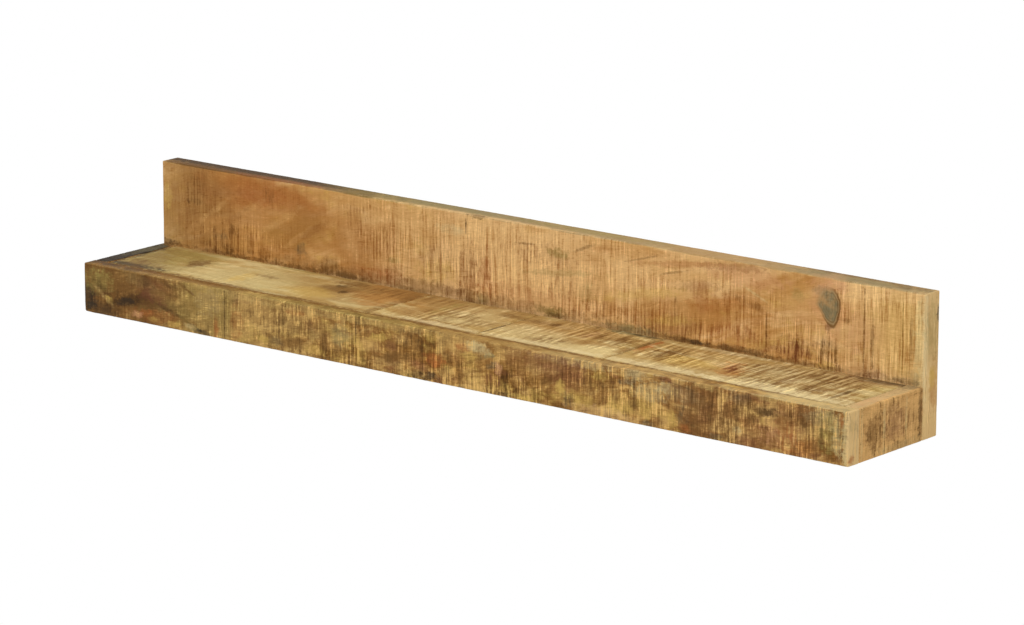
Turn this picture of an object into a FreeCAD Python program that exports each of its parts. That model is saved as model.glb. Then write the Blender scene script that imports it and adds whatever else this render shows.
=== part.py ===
"""Floating wall shelf: a tall back board with a hollow shelf box built on its lower part.

Frame: X runs along the shelf from its middle, Y points into the wall with 0 at the wall's face,
and Z points up with 0 at the height of the two wall screws. All sizes are in millimetres.
"""

import FreeCAD, Part
import math
import os

import Sketcher

SIZES = [
    ("shelf_long", 1200, "overall length"),
    ("shelf_deep", 150, "shelf box, front to the face of the back board"),
    ("shelf_tall", 65, "shelf box, height"),
    ("board_thick", 30, "back board, thickness"),
    ("board_tall", 175, "back board, height from the shelf's underside"),
    ("arris", 1.5, "rounding of the worn outer edges"),
    ("front_thick", 22, "front rail, thickness"),
    ("end_thick", 22, "end rails, thickness"),
    ("top_thick", 18, "top boards, thickness"),
    ("top_drop", 0.5, "top boards, how far they lie below the rails"),
    ("top_joint", 1, "open joint round every top board"),
    ("top_arris", 0.6, "rounding of the top boards' upper edges"),
    ("top_first", 437, "top board 1, length, counted from the left"),
    ("top_second", 170, "top board 2, length"),
    ("top_third", 195, "top board 3, length; board 4 fills the rest"),
    ("bottom_thick", 9, "bottom panel, thickness"),
    ("bottom_inset", 1.5, "bottom panel, how far it lies above the underside"),
    ("bottom_joint", 0.5, "open joint round the bottom panel"),
    ("bearer_thick", 18, "bearers inside the box, thickness"),
    ("rib_thick", 28, "cross ribs, thickness"),
    ("dowel_wide", 8, "corner dowels, diameter"),
    ("dowel_bite", 24, "corner dowels, depth of their holes in the end rails"),
    ("dowel_cover", 7, "wood left in front of a dowel's hole"),
    ("dowel_play", 0.1, "gap round a dowel"),
    ("dowel_end_play", 1, "glue space at a dowel's ends, both together"),
    ("heavy_shank", 5, "screws through the back board, shank diameter"),
    ("heavy_head", 10, "screws through the back board, head diameter"),
    ("light_shank", 3.5, "all other screws, shank diameter"),
    ("light_head", 7, "all other screws, head diameter"),
    ("screw_play", 0.1, "gap round a screw"),
    ("head_sink", 0.3, "how far a screw's head lies below the wood"),
    ("tip_cover", 4, "wood left beyond the tip of a screw or its hole"),
    ("end_bite", 45, "back board screws, depth in the end rails"),
    ("rib_bite", 27, "bearer screws, depth in the ribs' end grain"),
    ("bottom_bite", 14, "bottom panel screws, depth in the bearers"),
    ("hanger_bite", 15, "hanger plate screws, depth in the back board"),
    ("bearer_row_inset", 60, "screws of the long bearers, first one from the inside of an end rail"),
    ("bottom_row_inset", 110, "bottom panel screws, first one from the inside of an end rail"),
    ("hanger_spacing", 800, "distance between the two wall screws"),
    ("hanger_drop", 50, "height of the back board's top above the wall screws"),
    ("hanger_wide", 22, "hanger plate, width"),
    ("hanger_thick", 2, "hanger plate, thickness"),
    ("hanger_sink", 0.2, "how far a hanger plate lies inside the board's rear face"),
    ("hanger_play", 0.3, "gap round a hanger plate in its recess"),
    ("lug_gap", 15, "hanger plate, from the keyhole to the screw beyond each end of it"),
    ("keyhole_wide", 11, "keyhole, diameter of the round entry"),
    ("keyslot_wide", 5.4, "keyhole, width of the slot above the entry"),
    ("keyslot_rise", 13, "keyhole, from the entry's centre to the slot's top centre"),
    ("head_room", 1.5, "pocket behind a keyhole, gap round the entry"),
    ("pocket_deep", 12, "pocket behind a keyhole, depth from the wall's face"),
]

BEARER_SCREWS = 5
BOTTOM_SCREWS = 6
# heights of the rows of screws, as shares of the height of the wood that they enter
LOW_SHARE = 0.25
HIGH_SHARE = 0.75
RIB_SCREW_SHARE = 0.5
BEARER_SCREW_SHARE = 0.7
# proportions of a countersunk wood screw
TIP_SHARE = 1.5  # length of the point, in shank diameters
CROSS_LONG = 0.6  # cross recess, length in head diameters
CROSS_WIDE = 0.12  # cross recess, width in head diameters
CROSS_DEEP = 0.2  # cross recess, depth in head diameters


def row_of(count, first, span):
    """Evenly spaced places along a span, from its one end to the other."""
    return [f"({first} + {number} * {span} / {count - 1})" for number in range(count)]


def hole_for(shank):
    return f"({shank} + 2 * dims.screw_play)"


def seat_for(head):
    return f"({head} + 2 * dims.head_sink + 2 * dims.screw_play)"


# where things are, as expressions on the size sheet
UNDERSIDE = "(dims.hanger_drop - dims.board_tall)"
BOARD_FACE = "(-dims.board_thick)"
FRONT = f"({BOARD_FACE} - dims.shelf_deep)"
RAIL_REAR = f"({FRONT} + dims.front_thick)"
LEFT = "(-dims.shelf_long / 2)"
INNER_LEFT = f"({LEFT} + dims.end_thick)"
INNER_RIGHT = f"(-{INNER_LEFT})"
INNER_LONG = "(dims.shelf_long - 2 * dims.end_thick)"
INNER_DEEP = "(dims.shelf_deep - dims.front_thick)"
BEARER_LOW = f"({UNDERSIDE} + dims.bottom_inset + dims.bottom_thick)"
BEARER_TALL = "(dims.shelf_tall - dims.top_drop - dims.top_thick - dims.bottom_thick - dims.bottom_inset)"
BAY_FRONT = f"({RAIL_REAR} + dims.bearer_thick)"
BAY_DEEP = f"({INNER_DEEP} - 2 * dims.bearer_thick)"
FRONT_BEARER_MIDDLE = f"({RAIL_REAR} + dims.bearer_thick / 2)"
REAR_BEARER_FRONT = f"({BOARD_FACE} - dims.bearer_thick)"
REAR_BEARER_MIDDLE = f"({BOARD_FACE} - dims.bearer_thick / 2)"
RIB_SCREW_LEVEL = f"({BEARER_LOW} + {RIB_SCREW_SHARE} * {BEARER_TALL})"
BEARER_SCREW_LEVEL = f"({BEARER_LOW} + {BEARER_SCREW_SHARE} * {BEARER_TALL})"
RAIL_LEVELS = [f"({UNDERSIDE} + {share} * dims.shelf_tall)" for share in (LOW_SHARE, HIGH_SHARE)]
END_RAIL_MIDDLES = [f"({LEFT} + dims.end_thick / 2)", f"(-{LEFT} - dims.end_thick / 2)"]
END_BEARER_MIDDLES = [
    f"({INNER_LEFT} + dims.bearer_thick / 2)",
    f"({INNER_RIGHT} - dims.bearer_thick / 2)",
]
END_BEARER_SCREW_PLACES = [f"({BAY_FRONT} + {share} * {BAY_DEEP})" for share in (LOW_SHARE, HIGH_SHARE)]
HANGER_MIDDLES = ["(-dims.hanger_spacing / 2)", "(dims.hanger_spacing / 2)"]
HANGER_FACE = "(-dims.hanger_sink)"
HANGER_REAR = f"({HANGER_FACE} - dims.hanger_thick)"
HANGER_SCREW_LEVELS = ["(-dims.lug_gap)", "(dims.keyslot_rise + dims.lug_gap)"]

# the rows of places that screws, dowels and their holes share, as places in the shelf's frame
BEARER_ROW = row_of(
    BEARER_SCREWS,
    f"({INNER_LEFT} + dims.bearer_row_inset)",
    f"({INNER_LONG} - 2 * dims.bearer_row_inset)",
)
BOTTOM_ROW = row_of(
    BOTTOM_SCREWS,
    f"({INNER_LEFT} + dims.bottom_row_inset)",
    f"({INNER_LONG} - 2 * dims.bottom_row_inset)",
)
TOP_LENGTHS = ["dims.top_first", "dims.top_second", "dims.top_third"]
TOP_STARTS = [f"({INNER_LEFT} + dims.top_joint)"]
for length in TOP_LENGTHS:
    TOP_STARTS.append(f"({TOP_STARTS[-1]} + {length} + dims.top_joint)")
TOP_LENGTHS.append(f"({INNER_RIGHT} - dims.top_joint - {TOP_STARTS[-1]})")
RIB_MIDDLES = [f"({start} - dims.top_joint / 2)" for start in TOP_STARTS[1:]]
CROSS_PIECE_MIDDLES = [END_BEARER_MIDDLES[0], *RIB_MIDDLES, END_BEARER_MIDDLES[1]]

CORNER_PLACES = [[(x, RAIL_REAR, z) for z in RAIL_LEVELS] for x in END_RAIL_MIDDLES]
END_SCREW_PLACES = [[(x, "0", z) for z in RAIL_LEVELS] for x in END_RAIL_MIDDLES]
REAR_SCREW_PLACES = [(x, "0", BEARER_SCREW_LEVEL) for x in BEARER_ROW]
FRONT_SCREW_PLACES = [(x, BAY_FRONT, BEARER_SCREW_LEVEL) for x in BEARER_ROW]
END_BEARER_PLACES = [("0", y, BEARER_SCREW_LEVEL) for y in END_BEARER_SCREW_PLACES]
FRONT_RIB_PLACES = [(x, RAIL_REAR, RIB_SCREW_LEVEL) for x in CROSS_PIECE_MIDDLES]
REAR_RIB_PLACES = [(x, BOARD_FACE, RIB_SCREW_LEVEL) for x in CROSS_PIECE_MIDDLES]
FRONT_BOTTOM_PLACES = [(x, FRONT_BEARER_MIDDLE, "0") for x in BOTTOM_ROW]
REAR_BOTTOM_PLACES = [(x, REAR_BEARER_MIDDLE, "0") for x in BOTTOM_ROW]
HANGER_SCREW_PLACES = [[(x, "0", z) for z in HANGER_SCREW_LEVELS] for x in HANGER_MIDDLES]

# widths of holes and lengths of fasteners
HEAVY_HOLE = hole_for("dims.heavy_shank")
HEAVY_SEAT = seat_for("dims.heavy_head")
LIGHT_HOLE = hole_for("dims.light_shank")
LIGHT_SEAT = seat_for("dims.light_head")
DOWEL_HOLE = "(dims.dowel_wide + 2 * dims.dowel_play)"
DOWEL_LONG = "(dims.front_thick - dims.dowel_cover + dims.dowel_bite - dims.dowel_end_play)"
END_SCREW_LONG = "(dims.board_thick + dims.end_bite - dims.head_sink)"
REAR_SCREW_LONG = "(dims.board_thick + dims.bearer_thick - dims.tip_cover - dims.head_sink)"
FRONT_SCREW_LONG = "(dims.bearer_thick + dims.front_thick - dims.tip_cover - dims.head_sink)"
END_BEARER_SCREW_LONG = "(dims.bearer_thick + dims.end_thick - dims.tip_cover - dims.head_sink)"
RIB_SCREW_LONG = "(dims.bearer_thick + dims.rib_bite - dims.head_sink)"
BOTTOM_SCREW_LONG = "(dims.bottom_thick + dims.bottom_bite - dims.head_sink)"
HANGER_SCREW_LONG = "(dims.hanger_thick + dims.hanger_bite)"

# origin plane, the two axes in it, the offset to the face, and whether a cut has to be reversed to go in
FACES = {
    "front": ("XZ_Plane", "xz", "0", False),
    "rear": ("XZ_Plane", "xz", "-{y}", True),
    "left": ("YZ_Plane", "yz", "0", True),
    "right": ("YZ_Plane", "yz", "{x}", False),
    "under": ("XY_Plane", "xy", "0", True),
    "top": ("XY_Plane", "xy", "{z}", False),
}
# the axis that each face is square to, and whether it is the face at that axis's far end
FACE_ENDS = {
    "front": ("y", False),
    "rear": ("y", True),
    "left": ("x", False),
    "right": ("x", True),
    "under": ("z", False),
    "top": ("z", True),
}
HEAD_TO_WALL = FreeCAD.Rotation(FreeCAD.Vector(1, 0, 0), -90)
HEAD_TO_FRONT = FreeCAD.Rotation(FreeCAD.Vector(1, 0, 0), 90)
HEAD_TO_LEFT = FreeCAD.Rotation(FreeCAD.Vector(0, 1, 0), -90)
HEAD_TO_RIGHT = FreeCAD.Rotation(FreeCAD.Vector(0, 1, 0), 90)
HEAD_DOWN = FreeCAD.Rotation(FreeCAD.Vector(1, 0, 0), 180)
TOLERANCE = 1e-6

doc = FreeCAD.newDocument("floating_wall_shelf")
sheet = doc.addObject("Spreadsheet::Sheet", "dims")
nodes = []


def fill_sheet():
    """Write every driving size into the sheet, with its name as the alias of its cell."""
    for row, (name, size, meaning) in enumerate(SIZES, 1):
        sheet.set(f"A{row}", name)
        sheet.set(f"B{row}", str(size))
        sheet.set(f"C{row}", meaning)
        sheet.setAlias(f"B{row}", name)
    doc.recompute()


def value(expression):
    return float(sheet.evalExpression(expression))


def pin_point(sketch, geometry, point, across, up):
    """Hold one point of a sketch at two distances from the sketch's origin."""
    for kind, axis, distance in (("DistanceX", -2, across), ("DistanceY", -1, up)):
        if abs(value(distance)) < TOLERANCE:
            sketch.addConstraint(Sketcher.Constraint("PointOnObject", geometry, point, axis))
            continue
        number = sketch.addConstraint(
            Sketcher.Constraint(kind, -1, 1, geometry, point, value(distance))
        )
        sketch.setExpression(f"Constraints[{number}]", distance)


def flat(across, up):
    return FreeCAD.Vector(value(across), value(up), 0)


def draw_outline(sketch, corners):
    """A closed outline of straight lines through the corners, each corner pinned."""
    first = sketch.GeometryCount
    count = len(corners)
    for number in range(count):
        start, end = corners[number], corners[(number + 1) % count]
        sketch.addGeometry(Part.LineSegment(flat(*start), flat(*end)), False)
    for number in range(count):
        following = (number + 1) % count
        sketch.addConstraint(
            Sketcher.Constraint("Coincident", first + number, 2, first + following, 1)
        )
        pin_point(sketch, first + number, 1, *corners[number])


def draw_circle(sketch, centre, wide):
    circle = sketch.addGeometry(
        Part.Circle(flat(*centre), FreeCAD.Vector(0, 0, 1), value(wide) / 2), False
    )
    pin_point(sketch, circle, 3, *centre)
    number = sketch.addConstraint(Sketcher.Constraint("Diameter", circle, value(wide)))
    sketch.setExpression(f"Constraints[{number}]", wide)


def draw_slot(sketch, low, high, wide):
    """An upright slot: two half circles, centred on the low and high points, and two straight sides."""
    upwards = FreeCAD.Vector(0, 0, 1)
    radius = value(wide) / 2
    side = FreeCAD.Vector(radius, 0, 0)
    top = sketch.addGeometry(
        Part.ArcOfCircle(Part.Circle(flat(*high), upwards, radius), 0, math.pi), False
    )
    left = sketch.addGeometry(Part.LineSegment(flat(*high) - side, flat(*low) - side), False)
    bottom = sketch.addGeometry(
        Part.ArcOfCircle(Part.Circle(flat(*low), upwards, radius), math.pi, 2 * math.pi), False
    )
    right = sketch.addGeometry(Part.LineSegment(flat(*low) + side, flat(*high) + side), False)
    for one, other in ((top, left), (left, bottom), (bottom, right), (right, top)):
        sketch.addConstraint(Sketcher.Constraint("Tangent", one, 2, other, 1))
    pin_point(sketch, bottom, 3, *low)
    pin_point(sketch, top, 3, *high)
    number = sketch.addConstraint(Sketcher.Constraint("Radius", top, radius))
    sketch.setExpression(f"Constraints[{number}]", f"{wide} / 2")


class Piece:
    """A body whose near lower left corner is at one place of the shelf's frame."""

    def __init__(self, label, at, size):
        self.at = dict(zip("xyz", at))
        self.size = dict(zip("xyz", size))
        self.body = doc.addObject("PartDesign::Body", label)
        self.body.Label = label
        for axis, place in self.at.items():
            self.body.setExpression(f".Placement.Base.{axis}", place)
        nodes.append(self.body)

    def new_sketch(self, face):
        """An empty sketch on one face of the piece."""
        role, _, offset, _ = FACES[face]
        plane = next(part for part in self.body.Origin.OriginFeatures if part.Role == role)
        sketch = self.body.newObject("Sketcher::SketchObject", f"{self.body.Name}_sketch")
        sketch.AttachmentSupport = (plane, [""])
        sketch.MapMode = "FlatFace"
        sketch.setExpression(".AttachmentOffset.Base.z", offset.format(**self.size))
        return sketch

    def on_face(self, face, place):
        """A place of the shelf's frame as two distances on a face's own sketch."""
        along = dict(zip("xyz", place))
        return [f"({along[axis]} - {self.at[axis]})" for axis in FACES[face][1]]

    def pad(self, sketch, thickness, backwards=False):
        feature = self.body.newObject("PartDesign::Pad", f"{self.body.Name}_pad")
        feature.Profile = sketch
        feature.Reversed = backwards
        feature.setExpression("Length", thickness)
        doc.recompute()
        sketch.Visibility = False

    def checked_cut(self, feature, volume_before):
        """A cut that points away from the wood takes nothing, so it is an error here."""
        doc.recompute()
        if feature.Shape.Volume > volume_before - TOLERANCE:
            raise RuntimeError(f"{feature.Label} cuts nothing")

    def pocket(self, face, sketch, depth=None):
        """Cut the sketch's shape into a face, right through where no depth is given."""
        before = self.body.Tip.Shape.Volume
        feature = self.body.newObject("PartDesign::Pocket", f"{self.body.Name}_pocket")
        feature.Profile = sketch
        feature.Reversed = FACES[face][3]
        if depth is None:
            feature.Type = "ThroughAll"
        else:
            feature.setExpression("Length", depth)
        self.checked_cut(feature, before)

    def drill(self, face, places, wide, depth=None, head=None):
        """Drill a hole at each place, right through where no depth is given, with a seat for a head."""
        before = self.body.Tip.Shape.Volume
        sketch = self.new_sketch(face)
        for place in places:
            draw_circle(sketch, self.on_face(face, place), wide)
        doc.recompute()
        hole = self.body.newObject("PartDesign::Hole", f"{self.body.Name}_hole")
        hole.Profile = sketch
        doc.recompute()
        hole.Reversed = FACES[face][3]
        hole.setExpression("Diameter", wide)
        hole.DrillPoint = "Flat"
        if depth is None:
            hole.DepthType = "ThroughAll"
        else:
            hole.DepthType = "Dimension"
            hole.setExpression("Depth", depth)
        if head is not None:
            hole.HoleCutType = "Countersink"
            hole.HoleCutCountersinkAngle = 90
            hole.setExpression("HoleCutDiameter", head)
        self.checked_cut(hole, before)

    def ease(self, radius, *edges):
        """Round the edges where two named faces meet, such as 'front top'."""
        far_ends = {axis: value(size) for axis, size in self.size.items()}

        def lies_on(edge, face):
            axis, far = FACE_ENDS[face]
            level = far_ends[axis] if far else 0
            ends = [getattr(vertex.Point, axis) for vertex in edge.Vertexes]
            return all(abs(end - level) < TOLERANCE for end in ends)

        base = self.body.Tip
        chosen = [
            f"Edge{number}"
            for number, edge in enumerate(base.Shape.Edges, 1)
            if any(all(lies_on(edge, face) for face in pair.split()) for pair in edges)
        ]
        if len(chosen) != len(edges):
            raise RuntimeError(f"{self.body.Label}: {len(chosen)} of {len(edges)} edges found")
        fillet = self.body.newObject("PartDesign::Fillet", f"{self.body.Name}_fillet")
        fillet.Base = (base, chosen)
        fillet.setExpression("Radius", radius)
        doc.recompute()


def plank(label, at, size):
    """A squared-up piece of wood."""
    piece = Piece(label, at, size)
    footprint = piece.new_sketch("under")
    long_side, deep_side, tall_side = size
    draw_outline(
        footprint, [("0", "0"), (long_side, "0"), (long_side, deep_side), ("0", deep_side)]
    )
    piece.pad(footprint, tall_side)
    return piece


def make_back_board():
    """The plank against the wall, recessed for the hangers and drilled from behind."""
    board = plank(
        "back_board",
        (LEFT, BOARD_FACE, UNDERSIDE),
        ("dims.shelf_long", "dims.board_thick", "dims.board_tall"),
    )
    upright_edges = ["front left", "front right", "rear left", "rear right"]
    long_edges = ["front top", "rear top", "rear under"]
    end_edges = ["left top", "right top", "left under", "right under"]
    board.ease("dims.arris", *upright_edges, *long_edges, *end_edges)

    low_screw, high_screw = HANGER_SCREW_LEVELS
    slots = [
        ("(dims.hanger_wide + 2 * dims.hanger_play)", low_screw, high_screw, f"(-{HANGER_REAR})"),
        ("(dims.keyhole_wide + 2 * dims.head_room)", "0", "dims.keyslot_rise", "dims.pocket_deep"),
    ]
    for wide, low, high, depth in slots:
        sketch = board.new_sketch("rear")
        for x in HANGER_MIDDLES:
            ends = [board.on_face("rear", (x, "0", level)) for level in (low, high)]
            draw_slot(sketch, *ends, wide)
        board.pocket("rear", sketch, depth)

    for places in HANGER_SCREW_PLACES:
        pilot_deep = f"(-{HANGER_REAR} + dims.hanger_bite)"
        board.drill("rear", places, LIGHT_HOLE, depth=pilot_deep)
    for places in [*END_SCREW_PLACES, REAR_SCREW_PLACES]:
        board.drill("rear", places, HEAVY_HOLE, head=HEAVY_SEAT)


def make_front_rail():
    """The full-length rail whose end grain shows at both ends of the shelf."""
    rail = plank(
        "front_rail",
        (LEFT, FRONT, UNDERSIDE),
        ("dims.shelf_long", "dims.front_thick", "dims.shelf_tall"),
    )
    rail.ease(
        "dims.arris",
        "front top",
        "front under",
        "front left",
        "front right",
        "left top",
        "right top",
        "left under",
        "right under",
    )
    for places in CORNER_PLACES:
        rail.drill("rear", places, DOWEL_HOLE, depth="(dims.front_thick - dims.dowel_cover)")
    rail.drill("rear", FRONT_SCREW_PLACES, LIGHT_HOLE, depth="(dims.front_thick - dims.tip_cover)")


def make_end_rail(label, side, left):
    """A short rail between the front rail and the back board; side is its outer face."""
    rail = plank(
        label, (left, RAIL_REAR, UNDERSIDE), ("dims.end_thick", INNER_DEEP, "dims.shelf_tall")
    )
    rail.ease("dims.arris", f"{side} top", f"{side} under")
    number = ("left", "right").index(side)
    inner = ("right", "left")[number]
    rail.drill("front", CORNER_PLACES[number], DOWEL_HOLE, depth="dims.dowel_bite")
    rail.drill("rear", END_SCREW_PLACES[number], HEAVY_HOLE, depth="dims.end_bite")
    rail.drill(inner, END_BEARER_PLACES, LIGHT_HOLE, depth="(dims.end_thick - dims.tip_cover)")


def make_top_boards():
    """Four boards laid end to end between the rails, with an open joint round each."""
    for number, (start, length) in enumerate(zip(TOP_STARTS, TOP_LENGTHS), 1):
        at = (
            start,
            f"({RAIL_REAR} + dims.top_joint)",
            f"({UNDERSIDE} + dims.shelf_tall - dims.top_drop - dims.top_thick)",
        )
        size = (length, f"({INNER_DEEP} - 2 * dims.top_joint)", "dims.top_thick")
        board = plank(f"top_board_{number}", at, size)
        board.ease("dims.top_arris", "front top", "rear top", "left top", "right top")


def make_bottom_panel():
    panel = plank(
        "bottom_panel",
        (
            f"({INNER_LEFT} + dims.bottom_joint)",
            f"({RAIL_REAR} + dims.bottom_joint)",
            f"({UNDERSIDE} + dims.bottom_inset)",
        ),
        (
            f"({INNER_LONG} - 2 * dims.bottom_joint)",
            f"({INNER_DEEP} - 2 * dims.bottom_joint)",
            "dims.bottom_thick",
        ),
    )
    places = FRONT_BOTTOM_PLACES + REAR_BOTTOM_PLACES
    panel.drill("under", places, LIGHT_HOLE, head=LIGHT_SEAT)


def make_long_bearers():
    """The bearers along the front rail and the back board, which carry the top boards."""
    size = (INNER_LONG, "dims.bearer_thick", BEARER_TALL)
    front = plank("front_bearer", (INNER_LEFT, RAIL_REAR, BEARER_LOW), size)
    front.drill("rear", FRONT_SCREW_PLACES, LIGHT_HOLE, head=LIGHT_SEAT)
    front.drill("front", FRONT_RIB_PLACES, LIGHT_HOLE, head=LIGHT_SEAT)
    front.drill("under", FRONT_BOTTOM_PLACES, LIGHT_HOLE, depth="dims.bottom_bite")

    rear = plank("rear_bearer", (INNER_LEFT, REAR_BEARER_FRONT, BEARER_LOW), size)
    rear_deep = "(dims.bearer_thick - dims.tip_cover)"
    rear.drill("rear", REAR_SCREW_PLACES, HEAVY_HOLE, depth=rear_deep)
    rear.drill("rear", REAR_RIB_PLACES, LIGHT_HOLE, head=LIGHT_SEAT)
    rear.drill("under", REAR_BOTTOM_PLACES, LIGHT_HOLE, depth="dims.bottom_bite")


def make_cross_pieces():
    """The end bearers, and a rib under each joint of the top boards."""
    labels = ["left_bearer", "rib_1", "rib_2", "rib_3", "right_bearer"]
    for label, middle in zip(labels, CROSS_PIECE_MIDDLES):
        thick = "dims.rib_thick" if label.startswith("rib") else "dims.bearer_thick"
        cross = plank(
            label, (f"({middle} - {thick} / 2)", BAY_FRONT, BEARER_LOW), (thick, BAY_DEEP, BEARER_TALL)
        )
        end_hole = [(middle, BAY_FRONT, RIB_SCREW_LEVEL)]
        for face in ("front", "rear"):
            cross.drill(face, end_hole, LIGHT_HOLE, depth="dims.rib_bite")
        if label == "left_bearer":
            cross.drill("right", END_BEARER_PLACES, LIGHT_HOLE, head=LIGHT_SEAT)
        if label == "right_bearer":
            cross.drill("left", END_BEARER_PLACES, LIGHT_HOLE, head=LIGHT_SEAT)


def make_hanger_plate(label, middle):
    """A flat plate with round ends, a keyhole and two screw holes, let into the board's rear face."""
    low_screw, high_screw = HANGER_SCREW_LEVELS
    size = (
        "dims.hanger_wide",
        "dims.hanger_thick",
        f"({high_screw} - {low_screw} + dims.hanger_wide)",
    )
    at = (f"({middle} - dims.hanger_wide / 2)", HANGER_REAR, f"({low_screw} - dims.hanger_wide / 2)")
    plate = Piece(label, at, size)

    def level(height):
        return plate.on_face("front", (middle, "0", height))

    outline = plate.new_sketch("front")
    draw_slot(outline, level(low_screw), level(high_screw), "dims.hanger_wide")
    plate.pad(outline, "dims.hanger_thick", backwards=True)
    entry = plate.new_sketch("rear")
    draw_circle(entry, level("0"), "dims.keyhole_wide")
    plate.pocket("rear", entry)
    slot = plate.new_sketch("rear")
    draw_slot(slot, level("0"), level("dims.keyslot_rise"), "dims.keyslot_wide")
    plate.pocket("rear", slot)
    places = [(middle, "0", height) for height in HANGER_SCREW_LEVELS]
    seat = "(dims.light_head + 2 * dims.screw_play)"
    plate.drill("rear", places, LIGHT_HOLE, head=seat)


def pattern_screw(name, shank, head, length):
    """A countersunk wood screw that stands on its point, with a cross recess in its head."""
    body = doc.addObject("PartDesign::Body", name)
    roles = {part.Role: part for part in body.Origin.OriginFeatures}
    profile = body.newObject("Sketcher::SketchObject", f"{name}_profile")
    profile.AttachmentSupport = (roles["XZ_Plane"], [""])
    profile.MapMode = "FlatFace"
    cone_low = f"({length} - ({head} - {shank}) / 2)"
    corners = [
        ("0", "0"),
        (f"{shank} / 2", f"{TIP_SHARE} * {shank}"),
        (f"{shank} / 2", cone_low),
        (f"{head} / 2", length),
        ("0", length),
    ]
    draw_outline(profile, corners)
    turned = body.newObject("PartDesign::Revolution", f"{name}_turned")
    turned.Profile = profile
    turned.ReferenceAxis = (profile, ["V_Axis"])
    turned.Angle = 360
    doc.recompute()

    slot = body.newObject("Sketcher::SketchObject", f"{name}_slot")
    slot.AttachmentSupport = (roles["XY_Plane"], [""])
    slot.MapMode = "FlatFace"
    slot.setExpression(".AttachmentOffset.Base.z", length)
    across, up = f"({CROSS_LONG} * {head} / 2)", f"({CROSS_WIDE} * {head} / 2)"
    draw_outline(
        slot,
        [(f"-{across}", f"-{up}"), (across, f"-{up}"), (across, up), (f"-{across}", up)],
    )
    recess = body.newObject("PartDesign::Pocket", f"{name}_recess")
    recess.Profile = slot
    recess.setExpression("Length", f"{CROSS_DEEP} * {head}")
    doc.recompute()
    crossed = body.newObject("PartDesign::PolarPattern", f"{name}_cross")
    crossed.Originals = [recess]
    crossed.Axis = (roles["Z_Axis"], [""])
    crossed.Angle = 90
    crossed.Occurrences = 2
    body.Tip = crossed
    doc.recompute()
    return body


def pattern_dowel():
    """A beech dowel that stands on its end."""
    dowel = doc.addObject("Part::Cylinder", "dowel")
    dowel.setExpression("Radius", "dims.dowel_wide / 2")
    dowel.setExpression("Height", DOWEL_LONG)
    return dowel


def group(label, copies):
    """One node that holds several copies of a fastener: (pattern, rotation, place) each."""
    links = []
    for number, (pattern, rotation, place) in enumerate(copies, 1):
        link = doc.addObject("App::Link", f"{label}_{number}")
        link.LinkedObject = pattern
        link.Placement = FreeCAD.Placement(FreeCAD.Vector(), rotation)
        for axis, distance in zip("xyz", place):
            link.setExpression(f".Placement.Base.{axis}", distance)
        links.append(link)
    compound = doc.addObject("Part::Compound", label)
    compound.Label = label
    compound.Links = links
    nodes.append(compound)


def make_corner_dowels():
    dowel = pattern_dowel()
    start = f"({FRONT} + dims.dowel_cover + dims.dowel_end_play / 2)"
    places = [(x, start, z) for corner in CORNER_PLACES for x, _, z in corner]
    group("corner_dowels", [(dowel, HEAD_TO_WALL, place) for place in places])


def make_back_screws():
    """The screws driven from behind through the back board."""
    end_screw = pattern_screw("end_screw", "dims.heavy_shank", "dims.heavy_head", END_SCREW_LONG)
    tip = f"({BOARD_FACE} - dims.end_bite)"
    places = [(x, tip, z) for end in END_SCREW_PLACES for x, _, z in end]
    group("end_rail_screws", [(end_screw, HEAD_TO_WALL, place) for place in places])

    rear_screw = pattern_screw("rear_screw", "dims.heavy_shank", "dims.heavy_head", REAR_SCREW_LONG)
    tip = f"({REAR_BEARER_FRONT} + dims.tip_cover)"
    places = [(x, tip, z) for x, _, z in REAR_SCREW_PLACES]
    group("rear_bearer_screws", [(rear_screw, HEAD_TO_WALL, place) for place in places])


def make_bearer_screws():
    """The screws that hold the front and end bearers to the rails from inside the box."""
    front_screw = pattern_screw(
        "front_screw", "dims.light_shank", "dims.light_head", FRONT_SCREW_LONG
    )
    tip = f"({FRONT} + dims.tip_cover)"
    places = [(x, tip, z) for x, _, z in FRONT_SCREW_PLACES]
    group("front_bearer_screws", [(front_screw, HEAD_TO_WALL, place) for place in places])

    end_screw = pattern_screw(
        "end_bearer_screw", "dims.light_shank", "dims.light_head", END_BEARER_SCREW_LONG
    )
    left_tip, right_tip = f"({LEFT} + dims.tip_cover)", f"(-{LEFT} - dims.tip_cover)"
    copies = []
    for _, y, z in END_BEARER_PLACES:
        copies.append((end_screw, HEAD_TO_RIGHT, (left_tip, y, z)))
        copies.append((end_screw, HEAD_TO_LEFT, (right_tip, y, z)))
    group("end_bearer_screws", copies)


def make_rib_screws():
    """The screws through the long bearers into the ends of the ribs and end bearers."""
    screw = pattern_screw("rib_screw", "dims.light_shank", "dims.light_head", RIB_SCREW_LONG)
    copies = []
    for x in CROSS_PIECE_MIDDLES:
        front_tip = (x, f"({BAY_FRONT} + dims.rib_bite)", RIB_SCREW_LEVEL)
        rear_tip = (x, f"({REAR_BEARER_FRONT} - dims.rib_bite)", RIB_SCREW_LEVEL)
        copies.append((screw, HEAD_TO_FRONT, front_tip))
        copies.append((screw, HEAD_TO_WALL, rear_tip))
    group("rib_screws", copies)


def make_bottom_screws():
    screw = pattern_screw("bottom_screw", "dims.light_shank", "dims.light_head", BOTTOM_SCREW_LONG)
    tip = f"({BEARER_LOW} + dims.bottom_bite)"
    places = [(x, y, tip) for x, y, _ in FRONT_BOTTOM_PLACES + REAR_BOTTOM_PLACES]
    group("bottom_panel_screws", [(screw, HEAD_DOWN, place) for place in places])


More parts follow.
